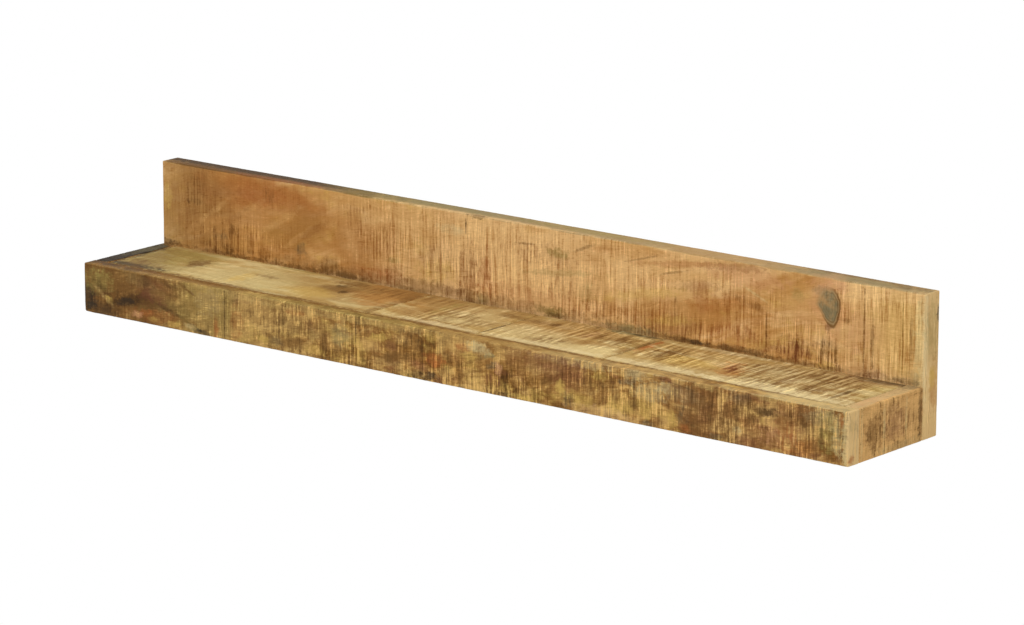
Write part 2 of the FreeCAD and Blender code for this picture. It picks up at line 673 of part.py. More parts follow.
def make_hanger_screws():
    screw = pattern_screw("hanger_screw", "dims.light_shank", "dims.light_head", HANGER_SCREW_LONG)
    tip = f"({HANGER_REAR} - dims.hanger_bite)"
    places = [(x, tip, z) for plate in HANGER_SCREW_PLACES for x, _, z in plate]
    group("hanger_plate_screws", [(screw, HEAD_TO_WALL, place) for place in places])


def check_and_write():
    """Stop on any failed object, and write every node as a STEP file."""
    doc.recompute()
    for item in doc.Objects:
        if "Invalid" in item.State or "Error" in item.State:
            raise RuntimeError(f"{item.Label} failed: {item.State}")
    for node in nodes:
        if node.Shape.isNull() or not node.Shape.isValid() or not node.Shape.Solids:
            raise RuntimeError(f"{node.Label} has no valid solid")
    os.makedirs("parts", exist_ok=True)
    for node in nodes:
        node.Shape.exportStep(f"parts/{node.Label}.step")


fill_sheet()
make_back_board()
make_front_rail()
make_end_rail("left_end_rail", "left", LEFT)
make_end_rail("right_end_rail", "right", INNER_RIGHT)
make_top_boards()
make_bottom_panel()
make_long_bearers()
make_cross_pieces()
make_hanger_plate("left_hanger_plate", HANGER_MIDDLES[0])
make_hanger_plate("right_hanger_plate", HANGER_MIDDLES[1])
make_corner_dowels()
make_back_screws()
make_bearer_screws()
make_rib_screws()
make_bottom_screws()
make_hanger_screws()
check_and_write()
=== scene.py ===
"""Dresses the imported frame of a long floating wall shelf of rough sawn, oiled wood.

Each plank that shows is cut again inside its frame solid, with worn arrises and saw marks.
The other pieces keep the frame's meshes, and every piece gets a finish built from nodes.
"""

import math

import bmesh
import bpy
from bpy.props import FloatProperty, FloatVectorProperty, PointerProperty
from mathutils import Color, Matrix, Vector, noise


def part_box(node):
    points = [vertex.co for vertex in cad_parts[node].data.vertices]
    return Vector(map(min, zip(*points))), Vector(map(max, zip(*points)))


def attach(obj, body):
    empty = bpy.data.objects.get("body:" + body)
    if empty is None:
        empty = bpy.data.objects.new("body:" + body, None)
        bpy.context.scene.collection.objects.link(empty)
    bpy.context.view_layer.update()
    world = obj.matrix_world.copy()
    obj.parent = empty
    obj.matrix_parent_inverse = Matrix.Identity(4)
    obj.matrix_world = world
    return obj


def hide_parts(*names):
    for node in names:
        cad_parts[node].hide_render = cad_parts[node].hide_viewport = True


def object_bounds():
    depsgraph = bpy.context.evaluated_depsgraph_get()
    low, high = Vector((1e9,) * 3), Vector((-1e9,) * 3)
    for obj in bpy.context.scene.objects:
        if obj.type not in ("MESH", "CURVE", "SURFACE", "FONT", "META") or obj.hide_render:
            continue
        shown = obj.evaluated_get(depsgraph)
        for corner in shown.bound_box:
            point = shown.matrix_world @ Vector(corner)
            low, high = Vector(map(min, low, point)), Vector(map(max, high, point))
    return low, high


bl_info = {
    "name": "Sawn wall shelf",
    "version": (1, 0, 0),
    "blender": (4, 5, 0),
    "location": "3D View > Sidebar > Wall shelf",
    "description": "Builds a floating wall shelf of rough sawn, oiled wood around its frame",
    "category": "Add Mesh",
}

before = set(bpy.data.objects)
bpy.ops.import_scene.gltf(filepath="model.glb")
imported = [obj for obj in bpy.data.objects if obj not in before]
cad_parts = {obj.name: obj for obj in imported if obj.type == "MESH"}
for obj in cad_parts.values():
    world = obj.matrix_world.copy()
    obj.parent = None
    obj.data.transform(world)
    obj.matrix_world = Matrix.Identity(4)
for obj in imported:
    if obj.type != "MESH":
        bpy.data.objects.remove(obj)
FRAME_LOW, FRAME_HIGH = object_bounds()
MM = 0.001
WHITE = (1, 1, 1, 1)

# The cut planks, in metres.
END_ROWS = (0.0, 0.0005, 0.0011, 0.0019, 0.003)  # rows of points near an end
CLEARANCE = 0.00003  # least distance between a cut face and its frame solid
STROKE = 0.05  # how far one stroke of the saw keeps its depth
COARSE, FINE, SWELL = 55, 190, 9  # how fast the wear and a sawn face's level change
WEAR_RANGE = (-0.7, 1.5)  # how far an arris strays from its radius, in shares of ragged
SHARP = math.radians(35)  # an edge that turns by more than this looks sharp
FEWEST_FACES = 500  # a cut plank with fewer was lost

# The woods, in millimetres.
STAINS_EACH = 22  # how many stains one material takes before the plank gets another
STAIN_REACH = 2.2  # how far a stain can show, in half lengths
BROAD, SMALL = 20, 60  # a stain is soft above the first, and clouded below the second
FAINT, EVEN = 0.3, 0.7  # saw marks outside a plank's marked places, and where none is marked
RUBBED = 2.2  # how far from an edge the oil is rubbed off
SHIFT = Vector((173.0, 57.0, 31.0))  # from one plank's part of the wood's pattern to the next

# The lamps: name, place, size and the property that holds its power.
LAMPS = (
    ("Key", (-1.6, -2.9, 3.0), 2.6, "key_power"),
    ("Fill", (3.2, -2.0, 1.6), 2.4, "fill_power"),
    ("Overhead", (0.3, -0.5, 3.4), 3.0, "top_power"),
)
FLOOR_SIZE = 16.0
FLOOR_FADE = (0.7, 1.7, 0.35)  # its whitening: from where, to where, and how strong at first

# The camera: its place, its turns about Z, X and Z again in degrees, and its lens.
CAMERA_PLACE = (3.5177, -4.4157, 1.2910)
CAMERA_TURNS = ((38.826, "Z"), (90.0 - 13.540, "X"), (0.131, "Z"))
LENS, SENSOR, CLIP_END = 164.54, 36.0, 60.0

# Stains on each node's faces, in the order that they are laid on; some rows paint shade or
# highlight instead, in whole or in part, and are noted where they stand. Each row gives colour,
# place along, place across or up, half length, half height, strength, how far it follows the
# saw's marks, and turn in degrees. The last two are left out where they are 0. Places are in
# millimetres from the shelf's left, front and under sides. Strength and following are in per cent.
STAINS_AND_PAINTED_LIGHT = {}
STAINS_AND_PAINTED_LIGHT["back_board", "front"] = (
    # Rows from 66 to 74 up lie along the board's foot; with the real residue of that joint they
    # paint the shade in the corner where the board meets the top boards.
    ("honey", 150, 120, 190, 75, 70), ("ochre", 30, 115, 80, 90, 60),
    ("rust", 190, 156, 110, 26, 40), ("ochre", 230, 112, 60, 26, 40, 0, 14),
    ("wheat", 62, 100, 28, 4.5, 50, 0, 38), ("wheat", 96, 124, 28, 4, 45, 0, 34),
    ("wheat", 150, 130, 36, 4.5, 45, 0, 28), ("wheat", 198, 118, 38, 4.5, 45, 0, 30),
    ("wheat", 232, 102, 32, 4, 40, 0, 36), ("sienna", 120, 112, 34, 5, 40, 0, 32),
    # Painted shade: the long umber line at 66 up darkens the corner at the board's foot.
    ("sienna", 262, 118, 32, 5, 35, 0, 30), ("umber", 600, 66, 640, 3.5, 70),
    # Painted shade: the umber band at 74 up is a soft shade above the board's foot.
    ("umber", 350, 74, 300, 7, 35, 40), ("cream", 600, 125, 230, 80, 90),
    ("wheat", 420, 150, 110, 22, 60), ("cream", 830, 140, 120, 40, 40, 0, 8),
    ("cream", 1150, 115, 60, 70, 60), ("rust", 172, 152, 40, 15, 45),
    ("umber", 90, 150, 45, 14, 20, 20), ("tan", 120, 98, 90, 14, 35),
    ("umber", 56, 144, 14, 26, 50, 90), ("walnut", 58, 128, 16, 4, 50, 80),
    ("umber", 112, 84, 40, 20, 70, 100), ("slate", 104, 88, 12, 5, 50, 50),
    ("sienna", 60, 110, 50, 60, 30, 100), ("umber", 187, 152, 9, 10, 60, 100),
    ("slate", 241, 90, 8, 8, 70, 50), ("umber", 290, 76, 14, 11, 50, 30),
    ("walnut", 10, 68, 16, 4, 70), ("gold", 10, 128, 8, 16, 50),
    ("honey", 345, 110, 60, 40, 55, 20, 12), ("rust", 370, 76, 40, 9, 70, 50),
    ("olive", 396, 98, 12, 4, 55, 40), ("sienna", 385, 122, 14, 20, 40, 90),
    ("sienna", 335, 146, 16, 18, 40, 90), ("gold", 470, 96, 30, 16, 50, 40),
    ("ivory", 488, 152, 22, 7, 45, 20), ("walnut", 514, 158, 1.5, 8, 80),
    ("walnut", 532, 174, 11, 3.4, 90), ("sienna", 462, 118, 30, 24, 45, 80),
    ("sienna", 520, 100, 18, 36, 55, 80), ("rust", 545, 96, 12, 34, 60, 60),
    ("plum", 486, 74, 22, 9, 50, 50), ("moss", 542, 70, 9, 6, 70, 20),
    ("walnut", 320, 68, 26, 4, 45), ("umber", 612, 151, 16, 1.4, 60, 20, 4),
    ("sienna", 640, 138, 40, 15, 40, 80), ("olive", 660, 146, 16, 6, 60, 30),
    ("umber", 700, 158, 18, 2, 50, 30, 22), ("olive", 660, 121, 60, 4, 35, 0, 6),
    ("olive", 702, 104, 14, 12, 40, 70), ("sienna", 665, 103, 26, 16, 40, 90),
    ("rust", 610, 84, 90, 14, 40, 60), ("olive", 648, 71, 24, 6, 70),
    ("walnut", 660, 67, 14, 3, 60), ("sienna", 730, 88, 22, 20, 40, 90),
    ("umber", 835, 147, 22, 1.4, 60, 0, 14), ("umber", 790, 158, 26, 1.2, 40, 0, 16),
    ("rust", 815, 131, 22, 10, 40, 80, 10), ("honey", 850, 92, 70, 24, 60, 30, 6),
    ("plum", 840, 82, 60, 15, 40, 60, 4), ("walnut", 841, 104, 4, 13, 50, 50),
    ("rust", 885, 124, 22, 22, 45, 60, 12), ("moss", 770, 69, 34, 5, 60),
    ("walnut", 850, 68, 30, 3, 50), ("char", 874, 67, 14, 2.4, 70, 0, -4),
    ("honey", 800, 98, 70, 7, 45, 20, 13), ("gold", 790, 114, 60, 7, 40, 0, 12),
    ("gold", 836, 88, 46, 6, 45, 20, 8), ("rust", 905, 119, 46, 9, 40, 20, 10),
    ("wheat", 880, 149, 90, 6, 50, 0, 9), ("rust", 850, 160, 70, 4, 35, 0, 7),
    ("sienna", 962, 122, 26, 4, 40, 0, -18), ("rose", 950, 158, 60, 12, 50, 20),
    ("honey", 940, 112, 60, 30, 50, 30), ("rust", 930, 84, 44, 16, 50, 80),
    ("umber", 945, 128, 24, 5, 35, 90, -14), ("straw", 958, 139, 18, 1.4, 40, 0, -22),
    ("walnut", 975, 96, 1.1, 30, 60), ("sienna", 1014, 80, 22, 14, 85, 75),
    ("plum", 1020, 84, 30, 13, 60, 70), ("slate", 1062, 94, 12, 9, 60, 60),
    ("umber", 1062, 78, 14, 16, 70, 100), ("bark", 1075, 88, 2.4, 16, 60),
    ("rose", 1032, 124, 16, 20, 40, 30), ("olive", 1020, 147, 9, 8, 60, 40),
    ("rose", 1070, 166, 26, 7, 60), ("lichen", 1050, 158, 9, 6, 55, 20),
    ("walnut", 1065, 117, 4, 6, 70), ("rose", 1103, 116, 14, 24, 40, 40),
    ("cream", 1090, 158, 12, 9, 50, 0, 50), ("wheat", 1032, 128, 16, 26, 40, 30),
    ("umber", 1090, 127, 7, 3, 50), ("bark", 1115, 118, 1.1, 50, 75),
    ("umber", 1127, 108, 2.4, 34, 60, 20), ("bark", 1169, 118, 0.9, 48, 80),
    ("gold", 1165, 120, 40, 50, 35), ("straw", 1195, 112, 9, 80, 60),
    ("pith", 1186, 76, 9, 8, 50, 20), ("umber", 1181, 125, 2.2, 30, 50, 40),
    # The walnut, plum and umber rows at 68 to 71 up are painted corner shade mixed with residue
    # along the board's foot.
    ("walnut", 940, 68, 40, 4, 55), ("plum", 1128, 69, 16, 6, 60, 30),
    ("walnut", 1176, 68, 20, 4, 50, 20), ("umber", 500, 71, 260, 8, 45, 30),
    ("tan", 138, 84, 34, 8, 65), ("wheat", 457, 137, 16, 12, 80), ("wheat", 375, 127, 14, 12, 35),
    ("wheat", 795, 102, 22, 10, 70, 0, 8), ("wheat", 848, 104, 14, 9, 60, 0, 8),
    ("wheat", 784, 172, 30, 6, 50), ("sienna", 876, 136, 30, 9, 40, 20, 8),
    ("sienna", 930, 168, 50, 7, 40, 0, 6), ("sienna", 949, 86, 14, 10, 55, 40),
    ("tan", 882, 98, 22, 8, 70), ("sienna", 397, 81, 14, 10, 50, 20),
    ("sienna", 972, 79, 14, 10, 50, 20), ("wheat", 1013, 136, 22, 12, 50, 10),
    ("wheat", 342, 172, 40, 7, 50), ("wheat", 417, 124, 12, 10, 80),
)
STAINS_AND_PAINTED_LIGHT["back_board", "top"] = (
    ("pith", 600, 165, 900, 90, 85), ("umber", 150, 165, 210, 60, 85),
    ("char", 130, 174, 240, 14, 75), ("rust", 190, 154, 90, 8, 50), ("bark", 60, 154, 60, 7, 60),
    ("olive", 390, 166, 100, 30, 50), ("moss", 500, 170, 130, 12, 55),
    ("cream", 540, 151, 170, 6, 60), ("olive", 700, 170, 110, 12, 50),
    ("tan", 900, 165, 100, 30, 30), ("moss", 1110, 168, 100, 16, 55),
    ("umber", 1080, 176, 60, 6, 50), ("umber", 1165, 170, 26, 9, 50),
    ("walnut", 532, 152, 13, 3.5, 85), ("walnut", 150, 165, 170, 60, 30),
)
STAINS_AND_PAINTED_LIGHT["back_board", "end"] = (
    ("cream", 166, 80, 40, 140, 50), ("straw", 166, 80, 40, 140, 35),
    ("honey", 170, 64, 8, 30, 50), ("gold", 168, 74, 7, 14, 60), ("ivory", 153, 120, 5, 70, 50),
    ("olive", 166, 130, 12, 34, 45, 20), ("char", 177, 148, 3, 9, 70),
)
STAINS_AND_PAINTED_LIGHT["front_rail", "front"] = (
    ("sand", 290, 38, 130, 60, 35), ("sand", 380, 61, 240, 6, 50), ("straw", 800, 60, 60, 5, 40),
    ("bark", 505, 22, 90, 6, 60, 0, 7), ("bark", 350, 14, 64, 9, 50),
    ("bark", 730, 50, 90, 14, 40, 20, -8), ("plum", 762, 50, 60, 22, 40, 0, -6),
    ("plum", 1060, 32, 120, 44, 35), ("pith", 962, 48, 34, 11, 45, 0, -10),
    ("straw", 1166, 52, 26, 12, 45), ("umber", 70, 34, 110, 60, 92), ("char", 8, 20, 15, 18, 75),
    ("char", 26, 9, 30, 9, 55), ("olive", 26, 44, 22, 15, 75, 20),
    ("amber", 100, 54, 34, 8, 50, 20, -16), ("walnut", 40, 26, 34, 8, 60, 0, -40),
    ("walnut", 120, 24, 66, 14, 45), ("gold", 43, 23, 8, 5, 55, 0, -20),
    ("walnut", 78, 26, 34, 6.5, 90, 0, 14), ("char", 74, 24, 18, 4.5, 60, 0, 10),
    ("walnut", 110, 40, 17, 8, 80, 10, 24), ("walnut", 146, 24, 30, 3.2, 75, 0, -16),
    ("walnut", 184, 12, 26, 2.2, 80, 0, -20), ("plum", 124, 46, 30, 18, 60, 30),
    ("walnut", 150, 57, 14, 6, 55, 0, -10), ("sienna", 135, 12, 60, 8, 60, 20),
    ("rust", 108, 15, 10, 5, 45), ("rose", 93, 10, 9, 4.5, 50), ("gold", 122, 8, 9, 3.5, 35),
    ("gold", 156, 7, 13, 4, 60, 0, 8), ("straw", 186, 8, 12, 3.5, 50, 0, -8),
    ("clay", 34, 26, 20, 3.4, 45, 0, -36), ("olive", 205, 36, 60, 50, 40, 20),
    ("char", 204, 4, 15, 3, 85, 0, -5), ("rust", 229, 15, 4, 13, 60),
    ("walnut", 244, 32, 0.9, 36, 70), ("rust", 264, 26, 10, 22, 40, 30),
    ("gold", 309, 12, 9, 5, 60), ("umber", 337, 46, 14, 18, 60, 50),
    ("rust", 364, 54, 16, 5, 35, 20), ("slate", 331, 12, 12, 6, 45),
    ("umber", 362, 12, 17, 8, 50, 20), ("gold", 392, 11, 13, 6, 45), ("umber", 412, 36, 3, 28, 55),
    ("moss", 438, 36, 15, 13, 50), ("gold", 432, 4, 14, 3.5, 70), ("walnut", 462, 46, 1.6, 16, 70),
    ("gold", 498, 43, 18, 5, 70, 20, 14), ("umber", 525, 21, 46, 7, 70, 0, 12),
    ("walnut", 545, 50, 16, 9, 50, 80), ("walnut", 565, 46, 10, 18, 45, 90),
    ("rust", 588, 28, 16, 9, 60), ("char", 583, 7, 9, 5, 90),
    ("umber", 630, 30, 34, 2.5, 50, 0, 20), ("umber", 640, 20, 34, 2.5, 40, 0, 22),
    ("rust", 630, 52, 12, 5, 60), ("straw", 652, 56, 14, 6, 60),
    ("moss", 672, 47, 10, 3, 60, 0, 15), ("slate", 680, 37, 11, 4, 65, 0, 15),
    ("rose", 688, 34, 5, 9, 65, 30), ("plum", 677, 17, 14, 12, 70, 90),
    ("walnut", 702, 17, 11, 14, 50, 60), ("char", 700, 3, 12, 3, 60),
    ("gold", 726, 4.5, 18, 4, 70), ("plum", 776, 55, 38, 11, 60, 30),
    ("umber", 765, 31, 17, 4.5, 70, 0, 14), ("gold", 782, 26, 8, 8, 80, 10),
    ("slate", 795, 13, 10, 9, 60, 60), ("gold", 809, 11, 7, 9, 65, 20),
    ("plum", 812, 48, 9, 13, 50, 60), ("umber", 838, 32, 18, 18, 55, 90),
    ("slate", 884, 50, 14, 4, 70, 10, 10), ("gold", 869, 16, 18, 12, 70, 40),
    ("umber", 893, 25, 8, 18, 50, 40), ("straw", 914, 42, 24, 11, 40, 10),
    ("gold", 912, 18, 13, 9, 55, 20), ("slate", 913, 4, 9, 3.5, 60),
    ("gold", 948, 14, 8, 10, 60, 60), ("slate", 965, 22, 8, 12, 70, 60),
    ("rust", 968, 7, 8, 5, 60), ("umber", 998, 30, 30, 30, 65, 40), ("slate", 1014, 5, 11, 4, 75),
    ("slate", 1048, 56, 17, 7, 65, 10), ("straw", 1044, 17, 6, 5, 70, 80),
    ("walnut", 1080, 46, 20, 5.5, 80, 0, 4), ("plum", 1072, 36, 5, 5, 55),
    ("rose", 1088, 20, 14, 16, 50, 90), ("rust", 1115, 22, 16, 20, 50, 90),
    ("umber", 1135, 47, 27, 12, 65, 10), ("olive", 1172, 36, 16, 24, 65, 10),
    ("rust", 1190, 53, 4, 8, 55), ("straw", 1196, 32, 5, 44, 75), ("plum", 938, 61, 12, 3, 90),
    ("walnut", 934, 61, 7, 1.2, 70, 0, 6), ("walnut", 918, 54, 22, 0.6, 60, 0, 14),
    ("walnut", 962, 57, 22, 0.6, 50, 0, -8), ("umber", 915, 60, 24, 0.6, 50, 0, 4),
    ("walnut", 96, 56, 24, 9, 60, 0, -8), ("umber", 158, 52, 16, 12, 40, 30),
    ("bark", 370, 63, 90, 4, 40), ("umber", 440, 2.5, 90, 3.5, 55), ("walnut", 564, 5, 22, 6, 85),
    ("gold", 582, 57, 12, 7, 40), ("umber", 684, 3, 14, 3, 50), ("cream", 848, 5, 42, 8, 60, 30),
    ("straw", 894, 60, 18, 7, 50), ("straw", 935, 50, 12, 7, 40, 20), ("sand", 998, 62, 16, 4, 50),
    ("umber", 1029, 22, 16, 17, 80, 30), ("umber", 1036, 3, 16, 5, 80),
    ("umber", 1059, 44, 16, 13, 95, 30), ("sand", 1086, 62, 16, 4, 50),
    ("honey", 1140, 14, 14, 10, 45), ("straw", 1184, 30, 8, 18, 45, 10),
    ("umber", 150, 62, 30, 4, 50), ("umber", 178, 56, 22, 1.6, 70, 0, -24),
    ("pith", 216, 46, 22, 16, 40, 10), ("sand", 393, 29, 8, 8, 45, 30),
    ("straw", 661, 54, 14, 7, 40, 10, -8), ("ochre", 720, 46, 10, 8, 40),
    ("gold", 843, 51, 10, 8, 40, 20), ("umber", 607, 56, 12, 7, 45),
    ("umber", 536, 48, 14, 9, 45, 30),
)
STAINS_AND_PAINTED_LIGHT["front_rail", "top"] = (
    ("olive", 450, 10, 330, 50, 50), ("umber", 110, 20, 150, 16, 80),
    ("ochre", 650, 10, 100, 60, 45), ("bark", 75, 10, 120, 60, 50), ("clay", 110, 3, 150, 9, 40),
    ("char", 14, 18, 50, 14, 60), ("char", 76, 12, 12, 16, 45, 0, 40),
    ("clay", 760, 10, 200, 60, 30), ("straw", 860, 8, 120, 30, 20),
    # The bark and umber rows at 21.5 across are painted shade in the groove where the rail meets
    # the top boards.
    ("straw", 1130, 10, 90, 50, 60), ("bark", 270, 21.5, 270, 7, 85),
    ("bark", 700, 21.5, 260, 5.5, 80), ("umber", 1040, 21.5, 160, 3.2, 75),
)
STAINS_AND_PAINTED_LIGHT["front_rail", "end"] = (
    ("cream", 10, 32, 30, 90, 80), ("straw", 10, 32, 30, 90, 35), ("rust", 6, 7, 5, 5, 70),
    ("moss", 10, 46, 9, 8, 25),
)
STAINS_AND_PAINTED_LIGHT["left_end_rail", "top"] = (
    ("char", 8, 90, 40, 140, 98), ("moss", 10, 110, 12, 40, 35),
)
STAINS_AND_PAINTED_LIGHT["right_end_rail", "top"] = (
    ("pith", 1189, 90, 40, 140, 30), ("ivory", 1189, 90, 40, 140, 40),
    ("slate", 1186, 140, 16, 14, 50), ("rose", 1188, 60, 10, 34, 35),
)
STAINS_AND_PAINTED_LIGHT["right_end_rail", "end"] = (
    ("wheat", 85, 34, 120, 90, 85), ("bark", 52, 30, 19, 20, 75, 20),
    ("umber", 46, 34, 9, 12, 30, 20), ("plum", 95, 34, 23, 20, 50),
    ("bark", 88, 52, 16, 8, 40, 10, -10), ("bark", 125, 26, 14, 22, 40, 50),
    ("umber", 145, 34, 4, 44, 80), ("straw", 26, 34, 3, 34, 40, 30),
    ("straw", 71, 32, 2.6, 34, 40, 60), ("straw", 116, 34, 2, 34, 40, 60),
    ("moss", 110, 5, 50, 6, 30),
)
STAINS_AND_PAINTED_LIGHT["top_board_1", "top"] = (
    ("olive", 60, 90, 70, 120, 70), ("straw", 220, 70, 100, 50, 75),
    ("olive", 250, 80, 110, 70, 20), ("clay", 370, 100, 90, 80, 80),
    ("honey", 440, 110, 75, 50, 60), ("ochre", 410, 120, 60, 40, 40),
    ("umber", 60, 40, 50, 20, 60, 10), ("char", 50, 30, 70, 10, 75),
    ("umber", 52, 80, 20, 60, 45, 30, 10), ("char", 23, 90, 6, 80, 60),
    ("umber", 116, 94, 18, 17, 75), ("umber", 119, 78, 8, 16, 50, 20),
    ("gold", 212, 68, 12, 30, 50), ("umber", 236, 92, 22, 7, 50, 20),
    ("umber", 352, 104, 30, 25, 80, 20), ("walnut", 344, 112, 10, 8, 60),
    ("walnut", 366, 88, 8, 7, 75), ("gold", 330, 60, 40, 24, 40),
    ("umber", 400, 122, 30, 18, 50, 50), ("umber", 440, 128, 30, 22, 55, 40),
    # The umber row at 23 across paints shade in the groove along the rail, and the umber row at 455
    # along paints shade beside the joint with the next board.
    ("umber", 455, 80, 7, 70, 60, 10), ("umber", 240, 23, 230, 7, 75),
    ("umber", 347, 129, 22, 12, 70, 20), ("clay", 62, 145, 50, 9, 80),
    ("straw", 290, 27, 30, 4, 50),
)
STAINS_AND_PAINTED_LIGHT["top_board_2", "top"] = (
    ("honey", 494, 105, 34, 55, 60, 10), ("ochre", 540, 110, 90, 50, 30),
    ("umber", 490, 126, 30, 24, 60, 50), ("clay", 550, 90, 100, 90, 70),
    ("straw", 575, 96, 40, 40, 40), ("olive", 522, 104, 8, 34, 50, 20),
    ("rust", 550, 32, 16, 7, 50), ("umber", 612, 120, 22, 8, 60, 40),
    # The ivory band at 32 across is a painted highlight along the board's front edge.
    ("umber", 566, 60, 44, 34, 55, 100), ("ivory", 560, 32, 80, 8, 60),
    # The umber rows at 23 and 26 across are painted shade in the groove along the rail.
    ("umber", 540, 23, 100, 3.5, 75), ("ochre", 475, 94, 14, 12, 80, 10),
    ("straw", 566, 58, 30, 14, 55, 10), ("clay", 557, 112, 18, 10, 40),
    ("umber", 535, 26, 24, 4, 50),
)
STAINS_AND_PAINTED_LIGHT["top_board_3", "top"] = (
    ("clay", 690, 110, 120, 60, 80), ("ochre", 700, 96, 90, 80, 30),
    ("straw", 690, 60, 60, 36, 50), ("walnut", 634, 54, 2.4, 36, 75),
    ("umber", 672, 118, 44, 9, 70, 30), ("umber", 724, 55, 24, 18, 60, 100),
    ("plum", 745, 105, 10, 17, 80, 50), ("umber", 786, 110, 40, 28, 60, 80),
    # The moss row at 146 across, with the walnut one at 146 below, is residue and painted shade
    # where the board meets the back board.
    ("straw", 796, 50, 30, 28, 80), ("moss", 782, 146, 40, 10, 80), ("umber", 824, 100, 5, 44, 60),
    # The ivory band at 32 across is a painted highlight along the board's front edge.
    # The umber row at 23 across is painted shade in the groove along the rail.
    ("ivory", 740, 32, 110, 8, 65), ("umber", 730, 23, 110, 2.6, 75),
    ("straw", 791, 94, 18, 11, 50, 20), ("walnut", 801, 146, 24, 7, 60),
)
STAINS_AND_PAINTED_LIGHT["top_board_4", "top"] = (
    ("clay", 960, 90, 160, 90, 45), ("pith", 1090, 90, 90, 90, 35),
    ("plum", 1130, 138, 60, 12, 50, 20), ("rust", 833, 106, 7, 30, 80, 20),
    ("umber", 876, 98, 28, 30, 65, 80), ("honey", 978, 76, 18, 34, 80, 20, 24),
    ("plum", 974, 82, 12, 30, 70, 90, 24), ("umber", 1006, 116, 24, 16, 60, 60),
    ("gold", 925, 76, 34, 24, 40), ("umber", 1046, 66, 17, 36, 60, 90),
    ("umber", 1100, 116, 40, 20, 60, 60), ("umber", 1106, 78, 12, 36, 65, 70),
    # The ivory bands at 33 and 35 across are painted highlight along the board's front edge.
    ("walnut", 1144, 60, 4, 40, 75, 20), ("ivory", 900, 33, 120, 9, 70),
    # The umber row at 1134 along and the slate one at 1150 along, near 146 across, are painted
    # shade in the open joint at the back, mixed with a dark stain.
    ("ivory", 1080, 35, 110, 15, 75), ("umber", 1134, 146, 40, 7, 85),
    ("slate", 1150, 142, 34, 9, 70, 10), ("ivory", 938, 142, 60, 8, 35),
    # The umber row at 23 across is painted shade in the groove along the rail.
    ("umber", 1000, 23, 190, 2.2, 70), ("ivory", 1062, 76, 11, 15, 75, 20),
    ("honey", 953, 93, 12, 12, 35, 10), ("ivory", 1135, 61, 26, 8, 40, 30),
    ("straw", 861, 87, 12, 9, 40, 20),
)

# Where the saw's marks are strong: place along, place across or up, half length, half height,
# strength in per cent. Elsewhere they are faint.
MARKED = {}
MARKED["back_board", "front"] = (
    (60, 125, 44, 44, 40), (140, 88, 70, 34, 100), (270, 76, 40, 16, 60), (395, 122, 80, 60, 90),
    (540, 118, 170, 90, 100), (720, 112, 130, 90, 90), (850, 86, 100, 34, 90),
    (890, 152, 80, 26, 60), (950, 108, 70, 50, 80), (1020, 88, 90, 34, 130),
    (1150, 120, 90, 90, 120),
)
MARKED["front_rail", "front"] = (
    (60, 30, 60, 44, 45), (220, 32, 90, 56, 50), (420, 32, 140, 56, 90), (590, 30, 100, 56, 85),
    (700, 18, 74, 34, 100), (850, 32, 120, 56, 80), (1020, 32, 120, 56, 70),
    (1150, 30, 66, 56, 80),
)
MARKED["right_end_rail", "end"] = ((85, 34, 70, 50, 100),)
MARKED["top_board_1", "top"] = ((405, 100, 62, 66, 50),)
MARKED["top_board_2", "top"] = ((540, 92, 110, 76, 80),)
MARKED["top_board_3", "top"] = ((740, 108, 110, 50, 105), (690, 52, 60, 28, 60))
MARKED["top_board_4", "top"] = ((900, 96, 96, 56, 95), (1060, 92, 110, 66, 110))

# Nicks in the arrises: place in millimetres, reach, and how much more is worn off there.
NICKS = {
    "back_board": (((532, 150, 175), 11, 3.2), ((1196, 152, 175), 10, 1.4)),
    "front_rail": (((3, 0, 2), 9, 1.2), ((1200, 4, 3), 8, 1.2)),
}


def shade(label, *levels):
    """A colour's property; the levels run from 0 to 255."""
    return FloatVectorProperty(
        name=label,
        description=f"Colour of the {label.lower()} parts",
        default=[level / 255 for level in levels],
        size=3,
        min=0,
        max=1,
        subtype="COLOR_GAMMA",
    )


def measure(label, description, default, unit="LENGTH"):
    """A value's property, a length unless the unit says otherwise."""
    return FloatProperty(name=label, description=description, default=default, unit=unit)


class ShelfColours(bpy.types.PropertyGroup):
    """The oiled wood's colours and the metal's, as they look on the shelf."""

    ivory: shade("Ivory", 222, 202, 152)
    cream: shade("Cream", 224, 182, 124)
    straw: shade("Straw", 212, 190, 134)
    wheat: shade("Wheat", 206, 160, 98)
    sand: shade("Sand", 188, 156, 94)
    amber: shade("Amber", 198, 158, 92)
    tan: shade("Tan", 190, 140, 78)
    clay: shade("Clay", 164, 130, 76)
    honey: shade("Honey", 172, 116, 56)
    ochre: shade("Ochre", 153, 112, 58)
    bark: shade("Bark", 116, 78, 32)
    sienna: shade("Sienna", 136, 84, 40)
    gold: shade("Gold", 206, 170, 88)
    rose: shade("Rose", 204, 150, 106)
    rust: shade("Rust", 160, 92, 44)
    plum: shade("Plum", 118, 72, 46)
    umber: shade("Umber", 112, 78, 38)
    walnut: shade("Walnut", 76, 52, 26)
    char: shade("Char", 48, 40, 30)
    slate: shade("Slate", 100, 84, 58)
    moss: shade("Moss", 124, 114, 76)
    lichen: shade("Lichen", 118, 112, 84)
    pith: shade("Pith", 156, 132, 90)
    olive: shade("Olive", 146, 126, 66)
    zinc: shade("Zinc", 176, 176, 170)
    steel: shade("Steel", 150, 150, 148)
    floor: shade("Floor", 240, 240, 240)


